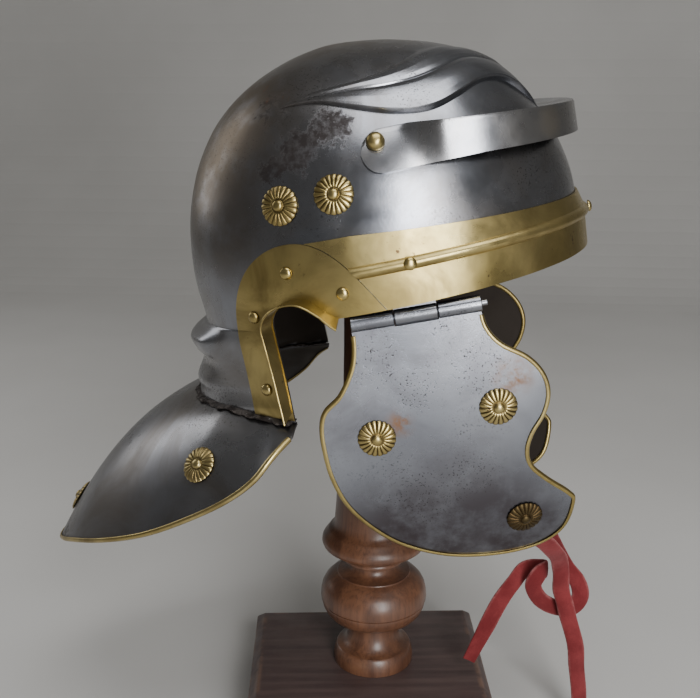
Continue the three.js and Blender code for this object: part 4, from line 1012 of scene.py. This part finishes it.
BRASS_EAR = brass("ear_guard_brass", 0.5)
for side_name, side in (("right", 1), ("left", -1)):
    settle(ear_guard(side), "ear_guard_plate_" + side_name, BRASS_EAR, "brass", "ear_guard_" + side_name)


# The brow band is a brass strip bent round the front of the rim, with one narrow bead pressed out
# of it. Its ends stop at the ear guards.
BAND_HEIGHT = 0.042
BAND_FALL = 0.0103
BAND_FLARE = 0.0025
RIDGE_SIDE = 0.0223
RIDGE_FRONT = 0.0195
RIDGE_HALF = 0.0034
RIDGE_DEPTH = 0.0026
BAND_END = -0.027


def ridge_at(turn):
    """The height of the bead's middle, which is lower at the front."""
    return RIDGE_FRONT + (RIDGE_SIDE - RIDGE_FRONT) * np.abs(np.sin(turn))


def band_off(turn):
    """How far the band's lower half stands off the bowl."""
    return SEAT + BRASS + BAND_FLARE * np.maximum(np.cos(turn), 0) ** 2


def brow_band():
    turn = np.radians(np.linspace(-150, 150, 260))
    ridge = ridge_at(turn)
    top = BAND_HEIGHT - BAND_FALL * np.maximum(np.cos(turn), 0)
    # Each row has its height, its share of the bead's depth and its share of the way from the bead
    # to the top edge, over which the band comes back to the bowl.
    rows = [(np.full(turn.shape, z), 0, 0) for z in (-0.001, 0.005, 0.010, 0.0145)]
    for share in np.linspace(-1, 1, 15):
        rise = max(math.cos(share * math.pi / 2), 0) ** 0.8
        rows.append((ridge + share * RIDGE_HALF, rise, 0))
    foot = ridge + RIDGE_HALF
    rows += [(foot + (top - foot) * share, 0, share) for share in (0.1, 0.4, 0.7, 0.9, 0.99)]
    outer, inner = [], []
    for height, rise, back in rows:
        off = band_off(turn) * (1 - back) + (SEAT + BRASS) * back
        dent = 0.00012 * np.sin(turn * 9 + height * 90) + 0.0001 * np.sin(turn * 23 + 1)
        outer.append(bowl_point(row_at(height), turn, off + rise * RIDGE_DEPTH + dent))
        inner.append(bowl_point(row_at(height), turn, off - BRASS + rise * RIDGE_DEPTH * 0.8))
    piece = skin(on_helmet(np.stack(outer + inner[::-1], 1)))
    rear, high = -2 * SKULL_REACH, 2 * BAND_HEIGHT
    cut = [(rear, -SPARE), (rear, high), (BAND_END, high), (BAND_END, GUARD_TOP)]
    cut += [(x + SEAT, z + SEAT) for x, z in guard_outline() if x > BAND_END]
    cut += [(GUARD_FRONT + SEAT, -SPARE)]
    combine(piece, side_prism(cut, -2 * HALF_WIDTH, 2 * HALF_WIDTH), "DIFFERENCE")
    return combine(piece, below_rim(), "DIFFERENCE")


BRASS_BAND = brass("brow_band_brass", 0.42)
settle(brow_band(), "brow_band_strip", BRASS_BAND, "brass", "brow_band")


# The peak is a steel bar of L section across the forehead. Its rounded ends are riveted to the
# bowl, and its top plate reaches back to it.
PEAK_REACH = 0.133
PEAK_HALF_WIDTH = 0.085
PEAK_START = 0.040
PEAK_SQUARENESS = 2.3
PEAK_TOP = 0.092
PEAK_FALL = 0.0085
PEAK_BOTTOM = 0.0697
PEAK_BOTTOM_FALL = 0.0037
PEAK_FALL_START = 0.036
PEAK_FALL_RUN = 0.067
PEAK_EDGE = 0.0012
PEAK_TOP_SET = 0.0006
LOBE_MIDDLE = 0.0245
LOBE_RADIUS = (PEAK_TOP - PEAK_BOTTOM) / 2
LOBE_HEIGHT = (PEAK_TOP + PEAK_BOTTOM) / 2
LOBE_FREE = 0.004
PEAK_FREE = 0.018
PEAK_PLATE_RUN = 0.008


def peak_line():
    """Along the peak from lobe to lobe: x, y, its top and bottom heights, and its side."""
    lobe = LOBE_MIDDLE - LOBE_RADIUS * np.cos(np.linspace(0.02, np.pi / 2, 20))
    straight = np.linspace(LOBE_MIDDLE, PEAK_START, 14)[1:]
    angle = np.linspace(0, np.pi / 2, 90)[1:]
    power = 2 / PEAK_SQUARENESS
    x = np.concatenate([lobe, straight, PEAK_START + (PEAK_REACH - PEAK_START) * np.sin(angle) ** power])
    y = np.concatenate([np.full(len(lobe) + len(straight), PEAK_HALF_WIDTH),
                        PEAK_HALF_WIDTH * np.maximum(np.cos(angle), 0) ** power])
    half = np.sqrt(np.maximum(LOBE_RADIUS**2 - np.minimum(x - LOBE_MIDDLE, 0) ** 2, 0))
    run = np.clip((x - PEAK_START) / (PEAK_REACH - PEAK_START), 0, 1)
    high = np.where(x < LOBE_MIDDLE, LOBE_HEIGHT + half, PEAK_TOP - PEAK_FALL * run)
    fall = PEAK_BOTTOM_FALL * np.clip((x - PEAK_START - PEAK_FALL_START) / PEAK_FALL_RUN, 0, 1)
    low = np.where(x < LOBE_MIDDLE, LOBE_HEIGHT - half, PEAK_BOTTOM - fall)
    x, y, high, low = (np.concatenate([line, line[-2::-1]]) for line in (x, y, high, low))
    side = np.where(np.arange(len(x)) <= len(x) // 2, 1.0, -1.0)
    return x, y, high, low, side


def peak_face(x, y, side, z):
    """The bar's outer face at height z: on the bowl at the lobes, and free of it further on."""
    on_bowl = side_point(x, z, np.full(x.shape, SEAT + STEEL))
    start, end = LOBE_MIDDLE + LOBE_FREE, PEAK_START + PEAK_FREE
    free = np.clip((x - start) / (end - start), 0, 1)
    free = free**2 * (3 - 2 * free)
    px = on_bowl[:, 0] + (x - on_bowl[:, 0]) * free
    py = on_bowl[:, 1] + (-y - on_bowl[:, 1]) * free
    return np.stack([px, py * side, z], -1)


def peak():
    x, y, high, low, side = peak_line()
    shares = np.linspace(0, 1, 16)
    rows = np.stack([peak_face(x, y, side, low + (high - low) * share) for share in shares], 1)
    n = normals_of(rows)
    n *= np.sign(np.sum(n * (rows - [0, 0, LOBE_HEIGHT]), -1, keepdims=True))
    outer = rows.copy()
    outer[:, -1] += -n[:, -1] * PEAK_EDGE * 0.35
    outer[:, -2, 2] = outer[:, -1, 2] - PEAK_EDGE
    inner = rows - n * STEEL
    # The top plate runs from the fold to the bowl, or only over the edge at the lobes.
    top = rows[:, -1] - n[:, -1] * PEAK_EDGE
    share = np.clip((x - LOBE_MIDDLE) / PEAK_PLATE_RUN, 0, 1)[:, None]
    turn = np.arctan2(rows[:, -1, 1] / HALF_WIDTH, rows[:, -1, 0] / BROW_REACH)
    end = bowl_point(row_at(high - PEAK_TOP_SET), turn, np.full(x.shape, SEAT))
    end[:, 2] = high - PEAK_TOP_SET
    end = (rows[:, -1] - n[:, -1] * STEEL) * (1 - share) + end * share
    plate_rows = [top + (end - top) * s for s in (0, 0.25, 0.5, 0.75, 1)]
    under = []
    for s in (1, 0.5, 0.06):
        p = top + (end - top) * s
        p[:, 2] -= STEEL * np.maximum(share[:, 0], 0.05)
        under.append(p)
    inner[:, -1, 2] -= STEEL * share[:, 0]
    plate_rows, under = np.stack(plate_rows, 1), np.stack(under, 1)
    rings = np.concatenate([outer, plate_rows, under, inner[:, ::-1][:, 1:]], 1)
    return skin(on_helmet(rings))


PEAK_SHADES = [((0.0955, -0.0584, 0.4036), 0.02, 0.9)]
STEEL_PEAK = steel("peak_steel", dull=0.12, film_and_shade_patches=PEAK_SHADES, film_and_shade_tone=(0.36, 0.325, 0.28))
settle(peak(), "peak_bar", STEEL_PEAK, "steel", "peak", angle=40)


# The hinges: a plate inside the rim carries the middle knuckle, two knuckles are rolled from the
# top of each cheek guard, and a steel pin goes through all three.
HINGE_REAR = np.array([-0.009, -0.094, -0.005])
HINGE_FRONT = np.array([0.061, -0.0865, -0.0075])
HINGE_LENGTH = float(np.linalg.norm(HINGE_FRONT - HINGE_REAR))
HINGE_MIDDLE = (HINGE_FRONT + HINGE_REAR) / 2
HINGE_ALONG = unit(HINGE_FRONT - HINGE_REAR)
HINGE_ACROSS = unit(np.cross([0, 0, 1], HINGE_ALONG))
HINGE_UP = np.cross(HINGE_ALONG, HINGE_ACROSS)
HINGE_FRAME = np.stack([HINGE_ALONG, HINGE_ACROSS, HINGE_UP])
HINGE_PLATE_START = 0.008
HINGE_PLATE_HEIGHT = 0.031
KNUCKLE = HINGE_LENGTH / 3
KNUCKLE_RADIUS = 0.0046
KNUCKLE_GAP = 0.0005
PIN_RADIUS = 0.0017
PIN_CLEARANCE = 0.0003
PIN_END = 0.0035


def on_hinge(p, side):
    """From the hinge's frame, x along it to the front and z up, to the shared frame."""
    return on_helmet(mirrored(HINGE_MIDDLE + np.asarray(p, float) @ HINGE_FRAME, side))


def barrel(x0, x1, radius, side, chamfer=0.0004):
    """A round bar along the hinge with small chamfers."""
    angle = np.arange(48) / 48 * 2 * np.pi
    rings = []
    small = radius - chamfer
    for x, r in ((x0, small), (x0 + chamfer, radius), (x1 - chamfer, radius), (x1, small)):
        ring = np.stack([np.full(angle.shape, x), r * np.cos(angle), r * np.sin(angle)], -1)
        rings.append(on_hinge(ring, side))
    return skin(rings)


def block(low, high, side):
    """A square block between two corners in the hinge's frame."""
    (x0, y0, z0), (x1, y1, z1) = low, high
    ends = [[(x, y0, z0), (x, y1, z0), (x, y1, z1), (x, y0, z1)] for x in (x0, x1)]
    return skin([on_hinge(end, side) for end in ends])


def hinge_plate(side):
    """The plate flat inside the bowl's wall, a short leaf out from it, and the middle knuckle."""
    half = KNUCKLE / 2 - KNUCKLE_GAP / 2
    walls = []
    for x in (-half, half):
        for up in (HINGE_PLATE_START, HINGE_PLATE_HEIGHT / 2, HINGE_PLATE_HEIGHT):
            local = HINGE_MIDDLE + np.array([x, 0, up]) @ HINGE_FRAME
            wall = side_point(local[0], local[2], -STEEL - 2 * SEAT)
            walls.append(float(HINGE_FRAME[1] @ (wall - HINGE_MIDDLE)))
    near, far = max(walls), max(walls) + BRASS
    piece = block((-half, near, 0), (half, far, HINGE_PLATE_HEIGHT), side)
    combine(piece, block((-half, 0, -BRASS / 2), (half, far, BRASS / 2), side), "UNION")
    combine(piece, barrel(-half, half, KNUCKLE_RADIUS, side), "UNION")
    bore = barrel(-HINGE_LENGTH, HINGE_LENGTH, PIN_RADIUS + PIN_CLEARANCE, side)
    return combine(piece, bore, "DIFFERENCE")


STEEL_HINGE = steel("hinge_steel", dull=0.1)
for side_name, side in (("right", 1), ("left", -1)):
    leaf = hinge_plate(side)
    settle(leaf, "hinge_leaf_" + side_name, STEEL_HINGE, "steel", "hinge_plate_" + side_name)
    wire = barrel(-HINGE_LENGTH / 2, HINGE_LENGTH / 2 + PIN_END, PIN_RADIUS, side)
    settle(wire, "hinge_wire_" + side_name, STEEL_HINGE, "steel", "hinge_pin_" + side_name)


# The cheek guards are cut from sheet steel and dished towards the chin. They are polished, with
# pitting and light rust on the near one. Their steel is clouded dark plum, most of all low down and
# on the chin lobes, as painted shade and painted dark reflection.
CHEEK_LENGTH = 0.160
CHEEK_REACH = 0.0758
CHEEK_BACK = 0.0615
LOW_TUCK = 0.0255
FORE_TUCK = 0.0075
EDGING_START = -0.0055
# The outline from the rear of the hinge down round the chin to the front of the hinge: x is a
# share of the reach when positive, of the back when negative, and z of the length.
CHEEK_OUTLINE = [
    (-0.57, -0.012), (-0.585, -0.09), (-0.64, -0.16), (-0.772, -0.24), (-0.93, -0.29), (-0.99, -0.35),
    (-1, -0.437), (-0.975, -0.547), (-0.875, -0.669), (-0.67, -0.785), (-0.41, -0.88), (-0.01, -0.962),
    (0.38, -1), (0.7, -0.992), (0.91, -0.933), (1, -0.82), (0.965, -0.772), (0.8, -0.69), (0.69, -0.622),
    (0.672, -0.56), (0.72, -0.497), (0.82, -0.43), (0.87, -0.356), (0.845, -0.281), (0.745, -0.212),
    (0.57, -0.15), (0.48, -0.085), (0.455, -0.012),
]
CHEEK_POINTS = [(x * (CHEEK_REACH if x > 0 else CHEEK_BACK), z * CHEEK_LENGTH) for x, z in CHEEK_OUTLINE]
CHEEK_LINE = through(CHEEK_POINTS, np.linspace(0, 1, 301))


def cheek_face(x, z):
    """The middle of the cheek guard's thickness at x and z of the hinge's frame."""
    x, z = np.asarray(x, float), np.asarray(z, float)
    down = np.clip(-z / CHEEK_LENGTH, 0, 1.2)
    fore = np.maximum(x / CHEEK_REACH, 0)
    return np.stack([x, LOW_TUCK * down**3 + FORE_TUCK * fore**2 * down, z], -1)


def cheek_normal(x, z):
    """The cheek guard's outward normal there."""
    dx = cheek_face(x + 0.001, z) - cheek_face(x - 0.001, z)
    dz = cheek_face(x, z + 0.001) - cheek_face(x, z - 0.001)
    n = unit(np.cross(dx, dz))
    return n * -np.sign(n[..., 1:2])


def cheek_guard(side):
    """The dished plate cut to its outline, with room for the middle knuckle and its own two."""
    spare = 0.01
    x, z = np.meshgrid(np.linspace(-CHEEK_BACK - spare, CHEEK_REACH + spare, 60),
                       np.linspace(0, -CHEEK_LENGTH - spare, 70), indexing="ij")
    piece = skin(on_hinge(plate(cheek_face(x, z), STEEL / 2, -STEEL / 2), side))
    cutter = side_prism([tuple(p) for p in CHEEK_LINE], -0.1, 0.1, lambda p: on_hinge(p, side))
    combine(piece, cutter, "INTERSECT")
    end, gap = HINGE_LENGTH / 2, KNUCKLE / 2 + KNUCKLE_GAP / 2
    combine(piece, barrel(-gap, gap, KNUCKLE_RADIUS + KNUCKLE_GAP, side, chamfer=1e-5), "DIFFERENCE")
    for x0, x1 in ((-end, -gap), (gap, end)):
        combine(piece, barrel(x0, x1, KNUCKLE_RADIUS, side), "UNION")
    return combine(piece, barrel(-2 * end, 2 * end, PIN_RADIUS + PIN_CLEARANCE, side), "DIFFERENCE")


def cheek_channel(side):
    x, z = CHEEK_LINE[CHEEK_LINE[:, 1] < EDGING_START].T
    return channel(cheek_face(x, z), cheek_normal(x, z), lambda p: on_hinge(p, side))


# The patches low on both cheek guards and the dark plum colour of the tarnish are painted shade and
# painted dark reflection; the spots and rusts are real pitting and rust.
STEEL_CHEEK_PAINTED_SHADE = steel(
    "cheek_guard_steel_painted_shade",
    dull=0.02,
    spots=[((0.0055, -0.094, 0.278), 0.024), ((0.028, -0.091, 0.263), 0.02),
           ((0.061, -0.0875, 0.275), 0.024), ((0.039, -0.09, 0.30), 0.013)],
    film_and_shade_patches=[((0.03, -0.08, 0.16), 0.085, 1.0), ((0.07, -0.08, 0.175), 0.07, 0.9),
            ((0.09, -0.062, 0.165), 0.055, 1.0), ((0.045, -0.08, 0.215), 0.04, 0.55),
            ((0.03, 0.08, 0.16), 0.085, 1.0), ((0.07, 0.08, 0.175), 0.07, 0.9)],
    rusts=[((0.081, -0.085, 0.270), 0.016), ((0.0195, -0.092, 0.243), 0.011)],
    film_and_shade_tone=(0.075, 0.064, 0.07),
)
for side_name, side in (("right", 1), ("left", -1)):
    dished = cheek_guard(side)
    inside_of(dished, lambda points: np.full(points.shape, [0.0, -side, 0.0]))
    settle(dished, "cheek_plate_" + side_name, STEEL_CHEEK_PAINTED_SHADE, "steel", "cheek_guard_" + side_name)
    edge = cheek_channel(side)
    settle(edge, "cheek_edging_" + side_name, BRASS_EDGE, "brass", "cheek_binding_" + side_name)


# Thirteen fluted rosettes of pressed brass are riveted on: four on the skull, three on each cheek
# guard and three on the neck guard. Their flutes are painted darker as painted shade, and the chin
# rosettes almost black as painted shade.
ROSETTE_RADIUS = 0.0107
ROSETTE_HEIGHT = 0.003
ROSETTE_FLUTES = 20
ROSETTE_SEAT = 0.00035
RIVET_SEAT = 0.0004
# Radius, height and flute depth, as shares, from the middle of the back over the rim to the boss.
ROSETTE_ROWS = [
    (0, 0, 0), (0.98, 0, 0.2), (1, 0.08, 0.4), (0.99, 0.18, 0.6), (0.95, 0.3, 0.9), (0.89, 0.42, 1),
    (0.82, 0.53, 1), (0.73, 0.63, 1), (0.64, 0.71, 1), (0.55, 0.76, 0.9), (0.46, 0.79, 0.7),
    (0.39, 0.78, 0.3), (0.35, 0.72, 0), (0.32, 0.66, 0), (0.295, 0.7, 0), (0.28, 0.86, 0),
    (0.26, 1.0, 0), (0.22, 1.14, 0), (0.15, 1.26, 0), (0.08, 1.32, 0), (0, 1.34, 0),
]
# Places in the side view of the bowl, in the side view of a cheek guard from its hinge, and on the
# neck guard as shares of the way round and out.
SKULL_PLACES = (("rear", -0.034, 0.063), ("front", -0.004, 0.064))
CHEEK_PLACES = (("rear", -0.0314, -0.0664), ("front", 0.0373, -0.0595), ("chin", 0.0457, -0.1342))
NECK_PLACES = (("right", 0.215, 0.63), ("rear", 0.5, 0.845), ("left", 0.785, 0.63))


def rosette():
    """One rosette, with its hollows marked for the painted shade in them."""
    angle = np.linspace(0, 2 * np.pi, ROSETTE_FLUTES * 10 + 1)
    petal = np.abs(np.cos(angle * ROSETTE_FLUTES / 2)) ** 0.55
    rings = []
    for radius, height, depth in ROSETTE_ROWS:
        r = ROSETTE_RADIUS * radius * (1 - 0.035 * (1 - petal) * (radius > 0.9))
        z = ROSETTE_HEIGHT * (height - 0.2 * depth * (1 - petal))
        z = np.maximum(z, 0) * (height > 0)
        rings.append(np.stack([r * np.cos(angle), r * np.sin(angle), z], -1))
    piece = skin(np.stack(rings, 1))
    x, y, z = points_of(piece).T
    r = np.hypot(x, y) / ROSETTE_RADIUS
    petal = np.abs(np.cos(np.arctan2(y, x) * ROSETTE_FLUTES / 2)) ** 0.6
    depth = np.interp(r, [0.36, 0.45, 0.6, 0.9, 1], [0.4, 0.75, 0.9, 0.9, 0.6])
    ring = np.interp(r, [0.27, 0.31, 0.35, 0.4], [0, 1, 0.6, 0])
    below_boss = z < ROSETTE_HEIGHT * 1.07
    # The flutes and the ring round the boss are marked for painted shade.
    paint(piece, "hollow_shade", np.clip(np.maximum(depth * (1 - petal) * 1.7, ring), 0, 1) * below_boss)
    return piece


def set_on(pattern, finish, point, normal, side, node, spin=0.0):
    """A copy of a pattern on a face, with its own mesh."""
    piece = pattern.copy()
    piece.data = pattern.data.copy()
    bpy.context.collection.objects.link(piece)
    foot, tip = (Vector(on_helmet(mirrored(p, side))) for p in (point, point + normal))
    turn = Vector((0, 0, 1)).rotation_difference((tip - foot).normalized())
    spun = turn.to_matrix().to_4x4() @ Matrix.Rotation(spin, 4, "Z")
    piece.matrix_world = Matrix.Translation(foot) @ spun
    return settle(piece, node + "_head", finish, "brass", node, angle=60)


def on_bowl(x, z, off):
    """A point off the bowl's right side, and the outward way there."""
    point = side_point(x, z, off)
    return point, unit(side_point(x, z, off + 0.001) - point)


BRASS_ROSETTE = brass("rosette_brass", 0.35)
# The chin rosettes are painted almost black, as painted shade under the chin.
BRASS_CHIN_PAINTED_SHADE = brass("chin_rosette_brass_painted_shade", 2.3, (0.045, 0.03, 0.017))
pattern_rosette = rosette()
for side_name, side in (("right", 1), ("left", -1)):
    for place_name, x, z in SKULL_PLACES:
        node = "skull_rosette_" + side_name + "_" + place_name
        set_on(pattern_rosette, BRASS_ROSETTE, *on_bowl(x, z, ROSETTE_SEAT), side, node, x * 90)
    for place_name, x, z in CHEEK_PLACES:
        node = "cheek_rosette_" + side_name + "_" + place_name
        normal = cheek_normal(x, z)
        foot = cheek_face(x, z) + normal * (STEEL / 2 + RIVET_SEAT)
        foot, tip = (HINGE_MIDDLE + p @ HINGE_FRAME for p in (foot, foot + normal))
        finish = BRASS_CHIN_PAINTED_SHADE if place_name == "chin" else BRASS_ROSETTE
        set_on(pattern_rosette, finish, foot, tip - foot, side, node, x * 110)
close_by = np.array([-0.001, 0, 0.001])
for place_name, u, v in NECK_PLACES:
    node = "neck_rosette_" + place_name
    spread = neck_face(*np.meshgrid(u + close_by, v + close_by, indexing="ij"))
    normal = normals_of(spread)[1, 1]
    set_on(pattern_rosette, BRASS_ROSETTE, spread[1, 1] + normal * ROSETTE_SEAT, normal, 1, node)
bpy.data.objects.remove(pattern_rosette)


# Dome rivets of brass hold the ear guards and the brow band to the bowl, and two larger round
# knobs hold the ends of the peak. Each is a copy of one of two heads.
EAR_RIVETS = [(-0.037, 0.028), (-0.009, 0.013), (-0.0618, 0.0052), (-0.0645, -0.0375)]
BAND_RIVET = 0.028
PEAK_RIVET_BACK = 0.003
PEAK_RIVET_UP = 0.004


def dome(radius, height, roundness):
    """A rivet's head, rounder or flatter by its roundness."""
    rows = [(0, 0), (radius, 0)]
    for angle in np.linspace(0, math.pi / 2, 12)[1:-1]:
        rows.append((radius * math.cos(angle) ** roundness, height * math.sin(angle)))
    return turned(rows + [(0, height)], 40)


BRASS_RIVET = brass("rivet_brass", 0.25)
small, knob = dome(0.0035, 0.0021, 0.9), dome(0.005, 0.005, 0.75)
for side_name, side in (("right", 1), ("left", -1)):
    for i, (x, z) in enumerate(EAR_RIVETS):
        node = "ear_rivet_" + side_name + "_" + str(i + 1)
        set_on(small, BRASS_RIVET, *on_bowl(x, z, SEAT + BRASS + RIVET_SEAT), side, node)
    lobe = (LOBE_MIDDLE - PEAK_RIVET_BACK, LOBE_HEIGHT + PEAK_RIVET_UP)
    foot, normal = on_bowl(*lobe, SEAT + STEEL + RIVET_SEAT)
    set_on(knob, BRASS_RIVET, foot, normal, side, "peak_rivet_" + side_name)
    off = band_off(math.acos(BAND_RIVET / BROW_REACH)) + RIDGE_DEPTH + RIVET_SEAT
    foot, normal = on_bowl(BAND_RIVET, RIDGE_SIDE, off)
    set_on(small, BRASS_RIVET, foot, normal, side, "band_rivet_" + side_name)
foot = bowl_point(row_at(RIDGE_FRONT), 0.0, band_off(0) + RIDGE_DEPTH + RIVET_SEAT)
set_on(small, BRASS_RIVET, foot, np.array([1.0, 0, 0]), 1, "band_rivet_front")
bpy.data.objects.remove(small)
bpy.data.objects.remove(knob)


# A plain pale floor that rises behind the stand, and soft studio light: a tall lamp right of the
# camera and behind it, a weak one at the left rear and a dim one overhead.
FLOOR_SIZE = 8
FLOOR_FRONT = 3
FLOOR_BACK = 1.2
FLOOR_BEND = 0.9


def sweep(u, v):
    """The floor, flat as far as FLOOR_BACK and then bent up with the radius FLOOR_BEND."""
    run = FLOOR_SIZE * v - FLOOR_FRONT
    past = run - FLOOR_BACK
    angle = np.clip(past / FLOOR_BEND, 0, np.pi / 2)
    y = np.minimum(run, FLOOR_BACK) + FLOOR_BEND * np.sin(angle)
    z = FLOOR_BEND * (1 - np.cos(angle)) + np.maximum(past - FLOOR_BEND * np.pi / 2, 0)
    return np.stack([FLOOR_SIZE * (u - 0.5), y, z], -1)


floor = net(4, 160, sweep)
floor.name = "floor"
pale = Finish("pale_floor", (0.6, 0.59, 0.57), 0, 0.8)
cloud = pale.band(pale.noise(3, 3), 0.3, 0.7)
pale.to("Base Color", pale.mix(cloud, (0.60, 0.59, 0.57), (0.64, 0.63, 0.61)))
floor.data.materials.append(pale.material)


def lamp(place, aim, size, energy):
    """A soft rectangular lamp that faces a point of the object."""
    bpy.ops.object.light_add(type="AREA", location=place)
    made = bpy.context.object
    made.rotation_euler = (Vector(aim) - Vector(place)).to_track_quat("-Z", "Y").to_euler()
    made.data.shape = "RECTANGLE"
    made.data.size, made.data.size_y = size
    made.data.energy = energy


lamp((0.55, -1.35, 0.62), (0.02, 0, 0.3), (0.5, 1.15), 25)
lamp((-1.2, 0.55, 0.75), (-0.05, 0, 0.3), (0.5, 0.9), 2.5)
lamp((0.2, -0.4, 1.5), (0, 0, 0.3), (1.0, 0.7), 8)
world = bpy.context.scene.world or bpy.data.worlds.new("studio")
bpy.context.scene.world = world
world.use_nodes = True
world.node_tree.nodes["Background"].inputs["Color"].default_value = (0.46, 0.45, 0.43, 1)
world.node_tree.nodes["Background"].inputs["Strength"].default_value = 0.3
